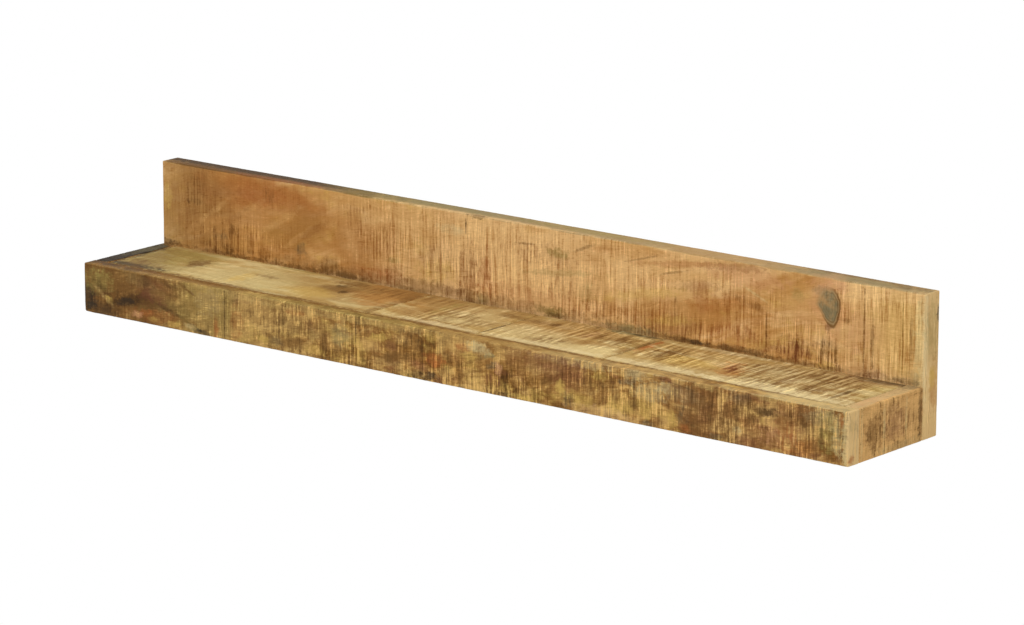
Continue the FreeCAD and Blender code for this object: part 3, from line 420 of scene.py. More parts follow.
class ShelfCut(bpy.types.PropertyGroup):
    """How the planks are sawn and worn."""

    arris: measure("Arris", "Radius that wear has given the planks' edges", 0.0019)
    ragged: measure("Ragged", "How much the worn radius varies along an edge", 0.0005)
    saw_step: measure("Saw step", "Distance between two strokes of the saw", 0.0042)
    saw_deep: measure("Saw depth", "Depth of the marks that the saw left", 0.00026)
    wander: measure("Wander", "How far a sawn face strays from flat", 0.0003)
    grid: measure("Grid", "Distance between two rows of points along a plank", 0.0021)


class ShelfStudio(bpy.types.PropertyGroup):
    """The floor, the lamps and the even light."""

    floor_drop: measure("Floor drop", "How far below the shelf the floor lies", 1.1)
    key_power: measure("Key power", "Power of the large front lamp", 58, "POWER")
    fill_power: measure("Fill power", "Power of the lamp on the right", 26, "POWER")
    top_power: measure("Overhead power", "Power of the lamp above", 32, "POWER")
    sky: measure("Sky", "Strength of the even light from all sides", 0.62, "NONE")


VALUES = {"shelf_colours": ShelfColours, "shelf_cut": ShelfCut, "shelf_studio": ShelfStudio}


def settings():
    """The three groups of values that the operators work with."""
    return [getattr(bpy.context.scene, name) for name in VALUES]


def paint(name):
    """A named colour as the linear RGBA that a socket takes."""
    colours = settings()[0]
    return (*Color(getattr(colours, name)).from_srgb_to_scene_linear(), 1.0)


class Wiring:
    """Adds nodes to a tree and joins them."""

    def __init__(self, tree):
        self.tree = tree

    def new(self, kind, feeds=(), **options):
        node = self.tree.nodes.new(kind)
        for option, value in options.items():
            setattr(node, option, value)
        for key, value in dict(feeds).items():
            if isinstance(value, bpy.types.NodeSocket):
                self.tree.links.new(value, node.inputs[key])
            else:
                node.inputs[key].default_value = value
        return node

    def first(self, kind, *values, **options):
        """The first output of a new node whose inputs take the values in their order."""
        return self.new(kind, enumerate(values), **options).outputs[0]

    def math(self, operation, *values, clamp=False):
        return self.first("ShaderNodeMath", *values, operation=operation, use_clamp=clamp)

    def times(self, *values, clamp=False):
        return self.math("MULTIPLY", *values, clamp=clamp)

    def madd(self, value, factor, rest, clamp=False):
        """The value times its factor, added to the rest."""
        return self.math("MULTIPLY_ADD", value, factor, rest, clamp=clamp)

    def total(self, start, *terms):
        """The start and, added to it, every value times its factor."""
        for value, factor in terms:
            start = self.madd(value, factor, start)
        return start

    def vector(self, operation, *values):
        return self.first("ShaderNodeVectorMath", *values, operation=operation)

    def length(self, vector):
        node = self.new("ShaderNodeVectorMath", {0: vector}, operation="LENGTH")
        return node.outputs["Value"]

    def scaled(self, vector, *factors):
        """The vector times one factor, or times three."""
        return self.vector("MULTIPLY", vector, factors if factors[1:] else factors * 3)

    def split(self, vector):
        return self.new("ShaderNodeSeparateXYZ", {0: vector}).outputs

    def join(self, *parts):
        return self.first("ShaderNodeCombineXYZ", *parts)

    def shrunk(self, parts, length, width):
        """A vector's parts, divided by a length along the plank and by a width across it."""
        pairs = zip(parts, (length, width, width))
        return self.join(*[self.math("DIVIDE", *pair) for pair in pairs])

    def noise(self, vector, detail=2.0, roughness=0.5, distortion=0.0):
        feeds = {
            "Vector": vector,
            "Scale": 1.0,
            "Detail": detail,
            "Roughness": roughness,
            "Distortion": distortion,
        }
        return self.new("ShaderNodeTexNoise", feeds).outputs["Fac"]

    def remap(self, value, low, high, to_low=0.0, to_high=1.0, kind="SMOOTHSTEP"):
        values = (value, low, high, to_low, to_high)
        return self.first("ShaderNodeMapRange", *values, interpolation_type=kind)

    def swing(self, value, low=0.3, high=0.7, most=1.0):
        """Turns a noise about its middle into values both sides of 0."""
        return self.remap(value, low, high, -most, most, "LINEAR")

    def mix(self, factor, first, second, blend="MIX"):
        feeds = {0: factor, 6: first, 7: second}
        node = self.new("ShaderNodeMix", feeds, data_type="RGBA", blend_type=blend)
        return node.outputs[2]

    def place(self, name, *values):
        """Puts in the shared node group of that name, its inputs fed in their order."""
        return self.new("ShaderNodeGroup", enumerate(values), node_tree=shared(name)).outputs


def saw_marks(w, given):
    """Upright marks across a plank: tones both ways, thin dark lines, and thin pale lines that are
    painted glints, the light that the marks' raised edges catch.
    """
    vector, step = given["Vector"], given["Step"]
    x, y, z = w.split(vector)
    sway = w.noise(w.scaled(vector, 0.012, 0.004, 0.004), 1.0)
    along = w.madd(sway, 9.0, x)

    def strokes(wide, tall, detail):
        wide, tall = w.times(step, wide), w.times(given["Reach"], tall)
        return w.noise(w.shrunk((along, y, z), wide, tall), detail, 0.8)

    turns = w.math("DIVIDE", along, w.times(step, 2.0))
    beat = w.math("SINE", w.times(turns, math.tau))
    patches = w.noise(w.scaled(vector, 0.026, 0.03, 0.03), 2.0)
    beat = w.times(beat, w.remap(patches, 0.42, 0.62, 0.0, 0.45))
    random = w.swing(strokes(2.0, 1.0, 4.0), 0.34, 0.66)
    zones = w.noise(w.scaled(vector, 0.017, 0.024, 0.024), 2.0)
    ease = w.times(w.remap(zones, 0.4, 0.58, 0.6, 1.15), given["Sawn"])
    cluster = w.times(ease, given["Cover"])
    thin = strokes(0.5, 1.3, 1.0)
    return {
        "Streaks": w.times(w.math("ADD", random, beat), ease),
        "Dark lines": w.times(w.remap(thin, 0.51, 0.63), cluster, clamp=True),
        # The thin pale lines are painted glints: light painted on where the marks' edges would
        # catch it.
        "Pale lines": w.times(w.remap(thin, 0.49, 0.37), cluster, clamp=True),
    }


def timber_grain(w, given):
    """The wood itself: broad figure, thin grain lines, ripples, flecks, fibres and pores."""
    feeds = {"Vector": given["Vector"], "Rotation": given["Turn"]}
    turned = w.new("ShaderNodeMapping", feeds).outputs[0]
    bend = w.times(w.noise(w.scaled(turned, 0.0055, 0.009, 0.009), 1.0), 45.0)
    parts = w.split(w.vector("ADD", turned, w.join(0.0, bend, bend)))

    def drawn(length, width, *kind):
        return w.noise(w.shrunk(parts, length, width), *kind)

    lines, zones = drawn(70.0, 1.7, 1.0), drawn(130.0, 26.0, 1.0)
    return {
        "Figure": drawn(given["Length"], given["Width"], 4.0, 0.6, 0.6),
        "Grain lines": w.times(w.remap(lines, 0.6, 0.72), w.remap(zones, 0.48, 0.6)),
        "Ripples": w.swing(drawn(34.0, 5.5, 3.0, 0.68)),
        "Flecks": w.swing(w.noise(w.scaled(given["Vector"], 0.05, 0.09, 0.09), 4.0, 0.7)),
        "Fibres": w.swing(drawn(9.0, 1.3, 3.0, 0.7)),
        "Pores": w.remap(drawn(5.0, 0.6, 0.0), 0.7, 0.8),
    }


def stain(w, given):
    """One ragged patch: a turned ellipsoid whose rim follows a noise and, if asked, the saw."""
    local = w.first("ShaderNodeMapping", *given[:4], vector_type="TEXTURE")
    away = w.math("ADD", w.length(local), given["Ragged"])
    mask = w.remap(away, 1.4, 0.5)
    marks = w.remap(given["Marks"], -0.25, 0.3)
    follow = w.madd(given["Streaky"], w.math("SUBTRACT", marks, 1.0), 1.0, clamp=True)
    return {"Mask": w.times(w.times(mask, follow), given["Strength"], clamp=True)}


def worn_edge(w, given):
    """How near a point is to an edge of a squared plank, roughened by a noise."""
    vector, low, high, reach = given[:4]
    below, above = w.vector("SUBTRACT", vector, low), w.vector("SUBTRACT", high, vector)
    a, b, c = w.split(w.vector("MINIMUM", below, above))
    low_pair, high_pair = w.math("MINIMUM", a, b), w.math("MAXIMUM", a, b)
    second = w.math("MAXIMUM", low_pair, w.math("MINIMUM", high_pair, c))
    rough = w.noise(w.scaled(vector, 0.05), 3.0, 0.6)
    reach = w.times(reach, w.remap(rough, 0.4, 0.6, 0.1, 1.2))
    return {"Wear": w.remap(w.math("DIVIDE", second, reach), 1.1, 0.2)}


def end_grain(w, given):
    """The sawn ends of a plank that runs from left to right, with their growth rings."""
    vector, low, high = given[:3]
    below = w.split(w.vector("SUBTRACT", vector, low))[0]
    above = w.split(w.vector("SUBTRACT", high, vector))[0]
    y, z = w.split(vector)[1:]
    bow = w.math("POWER", w.times(w.math("SUBTRACT", z, 70.0), 0.022), 2.0)
    ring = w.madd(w.noise(w.scaled(vector, 0.05), 2.0), 9.0, w.math("ADD", y, bow))
    lines = w.noise(w.join(w.times(ring, 0.55), 0.0, w.times(z, 0.01)), 3.0, 0.7)
    return {"Mask": w.remap(w.math("MINIMUM", below, above), 1.6, 0.3), "Rings": w.swing(lines)}


def knot(w, given):
    """A drop-shaped knot that points down: its heart, its bruised side, its rings and checks."""
    vector, centre, half = given[:3]
    local = w.vector("DIVIDE", w.vector("SUBTRACT", vector, centre), half)
    x, y, z = w.split(local)
    below = w.math("MAXIMUM", w.times(z, -1.0), 0.0)
    x = w.madd(below, -0.3, x)
    away = w.length(w.join(w.times(x, w.madd(below, 0.8, 1.0)), y, z))
    away = w.math("ADD", away, w.swing(w.noise(w.scaled(vector, 0.07), 3.0), most=0.1))
    side = w.remap(w.math("SUBTRACT", x, w.times(z, 0.7)), -0.9, 0.6, 0.1, 1.0)
    rim, inner = [
        w.remap(w.math("ABSOLUTE", w.math("SUBTRACT", away, middle)), wide, 0.02)
        for middle, wide in ((0.9, 0.14), (0.68, 0.08))
    ]
    inside = w.remap(away, 0.9, 0.6)
    cloud = w.noise(w.scaled(local, 1.7), 3.0, 0.6)
    cracks = w.noise(w.join(w.times(x, 5.0), y, w.times(z, 1.6)), 3.0)
    return {
        "Core": w.times(w.remap(away, 1.05, 0.7), w.madd(side, 0.4, 0.6)),
        "Ring": w.times(w.madd(inner, 0.5, rim), side, clamp=True),
        "Halo": w.remap(away, 2.1, 1.0),
        "Bruise": w.times(w.remap(cloud, 0.34, 0.62), inside),
        "Checks": w.times(w.remap(cracks, 0.55, 0.66), inside),
        "Growth": w.times(w.math("SINE", w.times(away, 30.0)), inside),
    }


# The shared node groups: what wires each, and its inputs. Those in VECTORS are vectors.
GROUPS = {
    "Saw marks": (saw_marks, "Vector", "Step", "Reach", "Cover", "Sawn"),
    "Timber grain": (timber_grain, "Vector", "Turn", "Length", "Width"),
    "Stain": (
        stain, "Vector", "Centre", "Turn", "Half size", "Ragged", "Marks", "Streaky", "Strength"
    ),
    "Worn edge": (worn_edge, "Vector", "Low", "High", "Reach"),
    "End grain": (end_grain, "Vector", "Low", "High"),
    "Knot": (knot, "Vector", "Centre", "Half size"),
}
VECTORS = ("Vector", "Turn", "Centre", "Half size", "Low", "High")


def shared(name):
    """The named node group, built the first time that it is asked for."""
    if name in bpy.data.node_groups:
        return bpy.data.node_groups[name]
    wire, *inputs = GROUPS[name]
    tree = bpy.data.node_groups.new(name, "ShaderNodeTree")
    for label in inputs:
        kind = "NodeSocketVector" if label in VECTORS else "NodeSocketFloat"
        tree.interface.new_socket(label, in_out="INPUT", socket_type=kind)
    w = Wiring(tree)
    results = wire(w, w.new("NodeGroupInput").outputs)
    for label in results:
        tree.interface.new_socket(label, in_out="OUTPUT", socket_type="NodeSocketFloat")
    w.new("NodeGroupOutput", results)
    return tree


def emptied(owner):
    """Clears the nodes of a material or a world, to be wired anew."""
    owner.use_nodes = True
    owner.node_tree.nodes.clear()
    return Wiring(owner.node_tree)


def begin_material(name):
    """A new material, its wiring, and Object coordinates in millimetres."""
    material = bpy.data.materials.new(name)
    w = emptied(material)
    start = w.new("ShaderNodeTexCoord").outputs["Object"]
    feeds = {"Vector": start, "Location": -FRAME_LOW / MM, "Scale": (1 / MM,) * 3}
    return material, w, w.new("ShaderNodeMapping", feeds).outputs[0]


def finish_material(w, colour, gloss, height, bump, distance, **more):
    """Adds the shader, whose normal comes from a bump of the height, and the output."""
    feeds = {"Height": height, "Strength": bump, "Distance": distance}
    normal = w.new("ShaderNodeBump", feeds).outputs[0]
    feeds = {"Base Color": colour, "Roughness": gloss, "Normal": normal, **more}
    surface = w.new("ShaderNodeBsdfPrincipled", feeds).outputs[0]
    w.new("ShaderNodeOutputMaterial", {"Surface": surface})


# Stains of these colours lie between the saw's marks, and all others on them.
PALE = ("ivory", "straw", "wheat", "tan", "gold", "rose")
# For each face: how places on it are put on the axes, how deep a stain is, a turn's direction.
FACES = {
    "front": (lambda u, v, deep: (u, deep, v), 4, -1),
    "top": (lambda u, v, deep: (u, v, deep), 1.6, 1),
    "end": (lambda u, v, deep: (deep, u, v), 4, 1),
}


def rows_on(table, node):
    """The rows that a table has for a node, each with its face in front."""
    return [(face, *row) for (name, face), rows in table.items() if name == node for row in rows]


def patch(w, spot, low, high, ragged, face, u, v, half_u, half_v, strength, marks=0.0,
          follow=0, turn=0):
    """The mask of one stain or one marked place, given as in the tables."""
    arranged, half_deep, direction = FACES[face]
    level = {"front": low.y, "top": high.z, "end": high.x}[face]
    turned = arranged(0, 0, direction * math.radians(turn))
    half = arranged(half_u, half_v, half_deep)
    values = (spot, arranged(u, v, level), turned, half, ragged, marks)
    return w.place("Stain", *values, follow / 100, strength / 100)["Mask"]


def lay_stains_and_painted_light(w, colour, spot, marks, ragged, rows, low, high):
    """Mixes each stain of a plank into its colour, the rows of painted shade and painted highlight
    too: broad ones softly, small ones raggedly.
    """
    soft = w.swing(w.noise(w.scaled(spot, 0.022, 0.03, 0.03), 2.0), most=0.4)
    cloud = w.remap(w.noise(w.scaled(spot, 0.05, 0.1, 0.1), 3.0, 0.6), 0.35, 0.6, 0.6, 1.08)
    gaps = w.times(marks, -1.0)
    for face, tone, u, v, half_u, half_v, strength, *rest in rows:
        broad = min(half_u, half_v) > BROAD
        size = (face, u, v, half_u, half_v, strength)
        edge = soft if broad else ragged
        mask = patch(w, spot, low, high, edge, *size, gaps if tone in PALE else marks, *rest)
        if not broad and half_u < SMALL:
            mask = w.times(mask, cloud, clamp=True)
        colour = w.mix(mask, colour, paint(tone))
    return colour


def shade_both_ways(w, colour, tone, middle, darkest, palest):
    """Darkens a colour where the tone is above 0 and lightens it where the tone is below 0.

    Both ways the colour keeps its own hue, so that a dark stain stays darker than the wood.
    """
    down, up = [
        [own * end[i] / middle[i] + (1 - own) * end[1] / middle[1] for i in range(4)]
        for end, own in ((darkest, 0.8), ([1.15 * level for level in palest], 0.6))
    ]
    lower = w.mix(w.remap(tone, 0.0, 1.2, 0.0, 0.9), WHITE, down)
    colour = w.mix(1.0, colour, lower, "MULTIPLY")
    limit = [min(1.0, 1.4 * level) for level in palest]
    raised = w.mix(1.0, w.mix(1.0, colour, up, "MULTIPLY"), limit, "DARKEN")
    return w.mix(w.remap(tone, 0.0, -1.2, 0.0, 0.95), colour, raised)


def sawn_wood(name, tones, low, high, mottled, seed, stains=(), marked=(), faint=EVEN,
              tints=("olive", "honey"), turned=False, tilt=0.0, step=4.5, reach=55.0,
              cover=0.6, contrast=1.0, wear=0.5, figure=(120.0, 24.0), heart=None):
    """Rough sawn, oiled wood with its saw marks and their painted glints, grain, stains with some
    painted shade and highlight among them, and rubbed edges.

    tones are the deep, middle and pale colours and that of the saw's dark lines; tints are
    two that cloud them; turned is for planks that run from front to back; tilt is how
    steeply the grain climbs, in degrees; faint is how strong the saw's marks are outside
    the marked places; heart is a knot's centre and half sizes.
    """
    material, w, spot = begin_material(name)
    low, high = [(corner - FRAME_LOW) / MM for corner in (low, high)]
    x, y, z = w.split(spot)
    run = w.join(y, x, z) if turned else spot
    run = w.vector("ADD", run, seed * SHIFT)
    ragged = w.swing(w.noise(w.scaled(spot, 0.13), 5.0, 0.68), 0.25, 0.75, 0.75)
    sawn = faint
    for row in marked:
        sawn = w.math("MAXIMUM", sawn, patch(w, spot, low, high, ragged, *row))
    ends = w.place("End grain", spot, low, high)
    if not turned:
        sawn = w.times(sawn, w.math("SUBTRACT", 1.0, ends["Mask"]))
    saw = w.place("Saw marks", run, step, reach, cover, sawn)
    grain = w.place("Timber grain", run, (0.0, math.radians(tilt), 0.0), *figure)

    deep, middle, pale, line = [paint(tone) for tone in tones]
    ramp = w.new("ShaderNodeValToRGB", {0: grain["Figure"]})
    stops = ramp.color_ramp.elements
    stops[0].position, stops[0].color = 0.38, deep
    stops[1].position, stops[1].color = 0.62, pale
    stops.new(0.5).color = middle
    colour = ramp.outputs["Color"]
    hue = w.noise(w.scaled(run, 0.02, 0.04, 0.04), 4.0, 0.65)
    for tint, start, end in zip(tints, (0.52, 0.48), (0.68, 0.32)):
        colour = w.mix(w.remap(hue, start, end, 0.0, 0.5), colour, paint(tint))
    rubbed = w.place("Worn edge", spot, low, high, RUBBED)["Wear"]
    colour = w.mix(w.times(rubbed, wear), colour, paint("straw"))
    colour = lay_stains_and_painted_light(w, colour, spot, saw["Streaks"], ragged, stains, low, high)

    tone = w.total(
        0.0,
        (grain["Ripples"], 0.4 * mottled),
        (grain["Flecks"], 0.25 * mottled),
        (grain["Fibres"], 0.4),
        (saw["Streaks"], 0.85 * contrast),
        (saw["Dark lines"], 0.8),
        # The thin pale lines lighten the wood as painted glints on the saw marks.
        (saw["Pale lines"], -0.8),
        (grain["Grain lines"], 0.5),
        (grain["Pores"], 0.4),
    )
    if not turned:
        rings = w.times(ends["Mask"], ends["Rings"])
        across = w.math("SUBTRACT", 1.0, w.times(ends["Mask"], 0.7))
        tone = w.madd(tone, across, w.times(rings, 0.8))

    if heart:
        core = w.place("Knot", spot, *heart)
        parts = (
            ("Halo", 0.4, "rose"), ("Core", 0.9, "pith"), ("Bruise", 0.8, "lichen"),
            ("Ring", 0.85, "umber"),
        )
        for label, strength, hue in parts:
            colour = w.mix(w.times(core[label], strength), colour, paint(hue))
        tone = w.times(tone, w.madd(core["Core"], -0.5, 1.0))
        tone = w.total(tone, (core["Checks"], 0.3), (core["Growth"], 0.2))

    gloss = w.madd(grain["Fibres"], 0.05, 0.62)
    height = w.total(
        0.5,
        (saw["Streaks"], -0.22),
        (saw["Dark lines"], -0.3),
        (grain["Ripples"], -0.1),
        (grain["Fibres"], 0.07),
        (grain["Pores"], -0.2),
    )
    finish_material(
        w,
        shade_both_ways(w, colour, tone, middle, line, pale),
        w.madd(saw["Dark lines"], 0.15, gloss, clamp=True),
        height,
        bump=0.8,
        distance=0.0005,
        **{"Specular IOR Level": 0.07},
    )
    return material


def plated_metal(name, tone, brushed):
    """Zinc-plated steel: cloudy crystals, rubbed scratches and a little dull oxide."""
    material, w, spot = begin_material(name)
    cloud = w.noise(w.scaled(spot, 0.9), 4.0, 0.6)
    strokes = w.noise(w.scaled(spot, 0.6, 0.6, 9.0), 2.0, 0.6)
    colour = w.mix(w.remap(cloud, 0.45, 0.7, 0.0, 0.5), paint(tone), paint("slate"))
    gloss = w.madd(strokes, 0.2 * brushed, w.remap(cloud, 0.3, 0.7, 0.28, 0.5), clamp=True)
    height = w.madd(strokes, brushed, cloud)
    finish_material(w, colour, gloss, height, bump=0.5, distance=0.0001, Metallic=1.0)
    return material


def link_object(name, data):
    """A new object in the scene; a bmesh is made into its mesh."""
    if isinstance(data, bmesh.types.BMesh):
        mesh = bpy.data.meshes.new(name)
        data.to_mesh(mesh)
        data.free()
        data = mesh
    piece = bpy.data.objects.new(name, data)
    bpy.context.scene.collection.objects.link(piece)
    return piece


def stations(length, step):
    """Places of the rows of points along one side: close together near both ends."""
    inner = length - 2 * END_ROWS[-1]
    count = max(1, round(inner / step))
    between = [END_ROWS[-1] + inner * i / count for i in range(1, count)]
    return [*END_ROWS, *between, *[length - place for place in reversed(END_ROWS)]]


def bored_copy(node):
    """The frame node as one closed mesh, to cut a new plank's holes and recesses with."""
    bm = bmesh.new()
    bm.from_mesh(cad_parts[node].data)
    bmesh.ops.remove_doubles(bm, verts=bm.verts, dist=1e-6)
    return link_object(node + "_shape", bm)


def trim_to_bores(plank, node):
    """Cuts the node's holes and recesses into a plank, and hands back the finished mesh."""
    shape = bored_copy(node)
    trim = plank.modifiers.new("Bores", "BOOLEAN")
    trim.operation = "INTERSECT"
    trim.solver = "EXACT"
    trim.object = shape
    graph = bpy.context.evaluated_depsgraph_get()
    finished = bpy.data.meshes.new_from_object(plank.evaluated_get(graph))
    for spare in (plank, shape):
        bpy.data.objects.remove(spare)
    finished.name = node + "_sawn"
    finished.polygons.foreach_set("use_smooth", [True] * len(finished.polygons))
    finished.set_sharp_from_angle(angle=SHARP)
    if len(finished.polygons) < FEWEST_FACES:
        raise RuntimeError(f"{node} was lost while its bores were cut")
    return finished


def cut_plank(name, steps, along=0, hollows=()):
    """A plank in its node's place, with sawn faces, worn arrises, and the node's own bores.

    steps are the distances between rows of points on the three axes, None for the cut's own;
    along is the axis that the plank runs along; hollows are dished places: centre, half
    sizes and depth, in metres.
    """
    cut = settings()[1]
    low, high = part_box(name)
    size = high - low
    rows = [stations(size[axis], steps[axis] or cut.grid) for axis in range(3)]
    nicks = [
        (FRAME_LOW + Vector(at) * MM, reach * MM, deep * MM)
        for at, reach, deep in NICKS.get(name, ())
    ]
    seed = Vector((len(name) * 3.1, sum(map(ord, name)) * 0.37, 0.0))

    def worn(spot):
        """Where a point of the squared plank ends up."""
        rough = noise.noise(spot * COARSE + seed) * 0.7 + noise.noise(spot * FINE + seed) * 0.5
        least, most = WEAR_RANGE
        radius = cut.arris + cut.ragged * max(least, min(most, rough))
        for at, reach, deep in nicks:
            radius += deep * max(0.0, 1 - (spot - at).length / reach)
        lean = Vector((0.0, 0.0, 0.0))
        for axis in range(3):
            near_low, near_high = spot[axis] - low[axis], high[axis] - spot[axis]
            if near_low < radius:
                lean[axis] = near_low - radius
            elif near_high < radius:
                lean[axis] = radius - near_high
        away = lean.length
        if away < 1e-9:
            return spot
        outward = lean / away
        spot += outward * min(0.0, radius - away)
        across = spot.y if along != 1 else spot.x
        strokes = Vector((spot[along] / cut.saw_step, across / STROKE, spot.z / STROKE))
        marks = 0.5 + 0.5 * noise.noise(strokes + seed)
        swell = 0.5 + 0.5 * noise.noise(spot * SWELL + seed)
        inset = CLEARANCE + cut.wander * swell
        inset += cut.saw_deep * marks * (1 - abs(outward[along]))
        for at, half, deep in hollows:
            local = Vector([(spot[i] - at[i]) / half[i] for i in range(3)])
            inset += deep * max(0.0, 1 - local.length_squared)
        return spot - outward * inset

    bm = bmesh.new()
    bmesh.ops.create_cube(bm, size=1.0)
    for axis, row in enumerate(rows):
        edges = [e for e in bm.edges if abs((e.verts[0].co - e.verts[1].co)[axis]) > 0.5]
        bmesh.ops.subdivide_edges(bm, edges=edges, cuts=len(row) - 2, use_grid_fill=True)
    for vert in bm.verts:
        spot = low.copy()
        for axis, row in enumerate(rows):
            spot[axis] += row[round((vert.co[axis] + 0.5) * (len(row) - 1))]
        vert.co = worn(spot)
    plank = link_object(name + "_sawn", bm)
    return link_object(name + "_sawn", trim_to_bores(plank, name))


def between(start, stop, rows):
    """The rows whose patches lie, at least in part, between two places along the shelf."""
    found = []
    for row in rows:
        along, _, *halves = [value for value in row if not isinstance(value, str)][:4]
        spread = STAIN_REACH * max(halves)
        if row[0] == "end" or start - spread < along < stop + spread:
            found.append(row)
    return found


def build_plank(node, slot, cut, **wood):
    """Cuts a plank, gives it its wood and hides the frame node that it takes the place of.

    cut holds what cut_plank is told. A long plank takes one material for each stretch, so
    that none holds too many stains.
    """
    piece = cut_plank(node, **cut)
    low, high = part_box(node)
    stains, marked = rows_on(STAINS_AND_PAINTED_LIGHT, node), rows_on(MARKED, node)
    stretches = max(1, math.ceil(len(stains) / STAINS_EACH))
    start, stop = [(corner.x - FRAME_LOW.x) / MM for corner in (low, high)]
    length = (stop - start) / stretches
    for number in range(stretches):
        here = start + number * length
        stains_here, marked_here = [between(here, here + length, rows) for rows in (stains, marked)]
        material = sawn_wood(
            f"{node}_wood_{number + 1}", low=low, high=high, stains=stains_here,
            marked=marked_here, faint=FAINT if marked else EVEN, **wood,
        )
        piece.data.materials.append(material)
    for polygon in piece.data.polygons:
        along = (polygon.center.x - low.x) / (high.x - low.x)
        polygon.material_index = min(stretches - 1, max(0, int(along * stretches)))
    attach(piece, "root")
    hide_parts(node)


def dress_nodes(material, *names):
    """Gives frame nodes that keep their own meshes a better finish."""
    for name in names:
        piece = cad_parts[name]
        piece.data.materials.clear()
        piece.data.materials.append(material)


def seen_rays(w):
    """1 where a ray comes straight from the camera or off a gloss, and 0 elsewhere."""
    rays = w.new("ShaderNodeLightPath").outputs
    seen = w.math("MAXIMUM", rays["Is Camera Ray"], rays["Is Glossy Ray"])
    return w.math("MAXIMUM", seen, rays["Is Transmission Ray"])


class SHELF_OT_stage(bpy.types.Operator):
    """Sets up the floor, the lamps, the even light and the camera."""

    bl_idname = "shelf.stage"
    bl_label = "Stage"

    def execute(self, context):
        studio = settings()[2]
        context.scene.view_settings.view_transform = "Standard"
        self.lay_floor(studio.floor_drop)
        self.light_sky(context.scene, studio.sky)
        for name, place, size, power in LAMPS:
            self.hang_lamp(name, place, size, getattr(studio, power))
        self.place_camera(context.scene)
        return {"FINISHED"}

    def lay_floor(self, drop):
        """A pale floor that keeps the shelf's shadow and is clear when seen from below."""
        bm = bmesh.new()
        bmesh.ops.create_grid(bm, x_segments=1, y_segments=1, size=FLOOR_SIZE)
        bmesh.ops.translate(bm, verts=bm.verts, vec=(0.0, 0.0, FRAME_LOW.z - drop))
        floor = link_object("floor", bm)
        material = bpy.data.materials.new("pale_floor")
        w = emptied(material)
        lit = w.first("ShaderNodeBsdfDiffuse", paint("floor"))
        plain = w.first("ShaderNodeEmission", WHITE, 1.0)
        x, y = w.split(w.new("ShaderNodeTexCoord").outputs["Object"])[:2]
        away = w.length(w.join(x, y, 0.0))
        faded = w.times(seen_rays(w), w.remap(away, *FLOOR_FADE))
        above = w.first("ShaderNodeMixShader", faded, lit, plain)
        below = w.new("ShaderNodeNewGeometry").outputs["Backfacing"]
        clear = w.first("ShaderNodeBsdfTransparent")
        both = w.first("ShaderNodeMixShader", below, above, clear)
        w.new("ShaderNodeOutputMaterial", {"Surface": both})
        floor.data.materials.append(material)

    def light_sky(self, scene, strength):
        scene.world = bpy.data.worlds.new("even_light")
        w = emptied(scene.world)
        even = w.first("ShaderNodeBackground", WHITE, strength)
        white = w.first("ShaderNodeBackground", WHITE, 1.0)
        both = w.first("ShaderNodeMixShader", seen_rays(w), even, white)
        w.new("ShaderNodeOutputWorld", {"Surface": both})

    def hang_lamp(self, name, place, size, power):
        lamp = bpy.data.lights.new(name, "AREA")
        lamp.shape = "SQUARE"
        lamp.size = size
        lamp.energy = power
        holder = link_object(name, lamp)
        holder.location = place
        holder.rotation_euler = (-Vector(place)).to_track_quat("-Z", "Y").to_euler()

    def place_camera(self, scene):
        camera = bpy.data.cameras.new("Camera")
        camera.sensor_width = SENSOR
        camera.lens = LENS
        camera.clip_end = CLIP_END
        holder = link_object("Camera", camera)
        swing, tip, roll = [
            Matrix.Rotation(math.radians(angle), 4, axis) for angle, axis in CAMERA_TURNS
        ]
        holder.rotation_euler = (swing @ tip @ roll).to_euler()
        holder.location = CAMERA_PLACE
        scene.camera = holder


class SHELF_OT_back_board(bpy.types.Operator):
    """Cuts the tall board that lies against the wall, with its knot."""

    bl_idname = "shelf.back_board"
    bl_label = "Back board"

    def execute(self, context):
        centre = (1064, 150, 140)
        hollow = (FRAME_LOW + Vector(centre) * MM, (0.019, 0.006, 0.026), 0.0007)
        build_plank(
            "back_board", "board_wood", {"steps": (None, 0.007, 0.006), "hollows": [hollow]},
            tones=("tan", "wheat", "cream", "honey"), tints=("gold", "honey"),
            tilt=10.0, step=2.7, cover=0.7, mottled=0.55, figure=(190.0, 34.0),
            heart=(centre, (18.5, 22, 26)), seed=1.0,
        )
        return {"FINISHED"}


class SHELF_OT_front_rail(bpy.types.Operator):
    """Cuts the long, strongly marked rail at the front."""

    bl_idname = "shelf.front_rail"
    bl_label = "Front rail"

    def execute(self, context):
        hollow = (FRAME_LOW + Vector((938, 0, 61)) * MM, (0.012, 0.004, 0.004), 0.0006)
        build_plank(
            "front_rail", "rail_wood", {"steps": (None, 0.006, 0.005), "hollows": [hollow]},
            tones=("bark", "ochre", "amber", "umber"), tints=("gold", "plum"),
            tilt=9.0, step=3.0, reach=32.0, cover=0.8, contrast=1.1, mottled=0.95,
            wear=0.4, figure=(46.0, 26.0), seed=2.0,
        )
        return {"FINISHED"}


class SHELF_OT_end_rails(bpy.types.Operator):
    """Cuts the two short rails that close the shelf's ends."""

    bl_idname = "shelf.end_rails"
    bl_label = "End rails"

    def execute(self, context):
        for number, name in enumerate(("left_end_rail", "right_end_rail")):
            build_plank(
                name, "rail_wood", {"along": 1, "steps": (0.006, None, 0.005)},
                tones=("honey", "tan", "wheat", "bark"),
                turned=True, mottled=0.5, figure=(70.0, 18.0), seed=3.0 + number,
            )
        return {"FINISHED"}


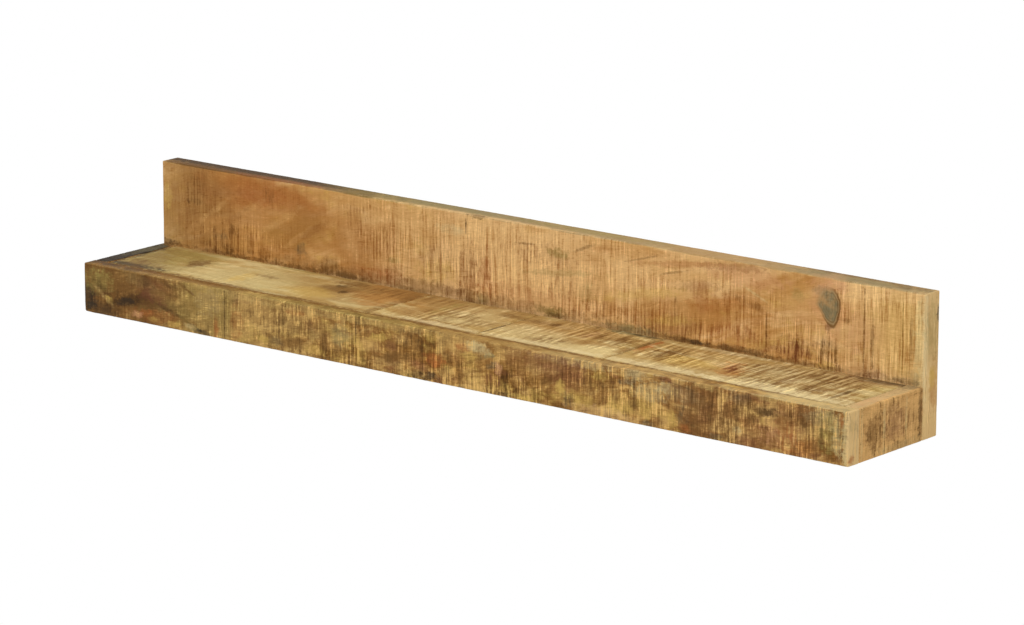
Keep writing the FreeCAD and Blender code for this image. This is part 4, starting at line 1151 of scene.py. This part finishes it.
class SHELF_OT_top_boards(bpy.types.Operator):
    """Cuts the four boards that are laid end to end between the rails."""

    bl_idname = "shelf.top_boards"
    bl_label = "Top boards"

    def execute(self, context):
        for number, cover in enumerate((0.2, 0.4, 0.65, 0.85), 1):
            build_plank(
                f"top_board_{number}", "top_wood", {"steps": (None, 0.008, 0.006)},
                tones=("clay", "sand", "straw", "ochre"), tints=("olive", "clay"), step=5.2,
                cover=cover, contrast=1.1 + 0.7 * cover, mottled=0.5, seed=5.0 + number,
            )
        return {"FINISHED"}


class SHELF_OT_inner_frame(bpy.types.Operator):
    """Finishes the bottom panel, the bearers, the ribs and the dowels."""

    bl_idname = "shelf.inner_frame"
    bl_label = "Inner frame"

    def execute(self, context):
        plain = ("tan", "straw", "straw", "bark")
        kinds = (
            ("panel", ("honey", "tan", "wheat", "bark"), False, 0.5, ["bottom_panel"]),
            ("bearer", plain, False, 0.3, ["front_bearer", "rear_bearer"]),
            ("rib", plain, True, 0.3, ["rib_1", "rib_2", "rib_3", "left_bearer", "right_bearer"]),
            ("dowel", plain, True, 0.1, ["corner_dowels"]),
        )
        for number, (kind, tones, turned, cover, nodes) in enumerate(kinds):
            wood = sawn_wood(
                f"{kind}_wood", tones, *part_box(nodes[0]), tints=("sand", "tan"), turned=turned,
                cover=cover, contrast=0.8, mottled=0.5, wear=0.1, seed=11.0 + number,
            )
            dress_nodes(wood, *nodes)
        return {"FINISHED"}


class SHELF_OT_fittings(bpy.types.Operator):
    """Finishes the screws and the two hanger plates."""

    bl_idname = "shelf.fittings"
    bl_label = "Fittings"

    def execute(self, context):
        screws = [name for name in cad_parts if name.endswith("_screws")]
        dress_nodes(plated_metal("zinc_screw", "zinc", 0.2), *screws)
        plate = plated_metal("zinc_plate", "steel", 0.8)
        dress_nodes(plate, "left_hanger_plate", "right_hanger_plate")
        return {"FINISHED"}


class SHELF_PT_panel(bpy.types.Panel):
    """Lists the shelf's pieces and the values that they are made with."""

    bl_label = "Wall shelf"
    bl_idname = "SHELF_PT_panel"
    bl_space_type = "VIEW_3D"
    bl_region_type = "UI"
    bl_category = "Wall shelf"

    def draw(self, context):
        for operator in OPERATORS:
            self.layout.operator(operator.bl_idname)
        for group in settings():
            column = self.layout.column()
            for name in group.__annotations__:
                column.prop(group, name)


OPERATORS = (
    SHELF_OT_stage,
    SHELF_OT_back_board,
    SHELF_OT_front_rail,
    SHELF_OT_end_rails,
    SHELF_OT_top_boards,
    SHELF_OT_inner_frame,
    SHELF_OT_fittings,
)
CLASSES = (*VALUES.values(), *OPERATORS, SHELF_PT_panel)


def register():
    for item in CLASSES:
        bpy.utils.register_class(item)
    for name, kind in VALUES.items():
        setattr(bpy.types.Scene, name, PointerProperty(type=kind))


def unregister():
    for name in VALUES:
        delattr(bpy.types.Scene, name)
    for item in reversed(CLASSES):
        bpy.utils.unregister_class(item)


def main():
    register()
    for operator in OPERATORS:
        getattr(bpy.ops.shelf, operator.bl_idname.partition(".")[2])()


if __name__ == "__main__":
    main()
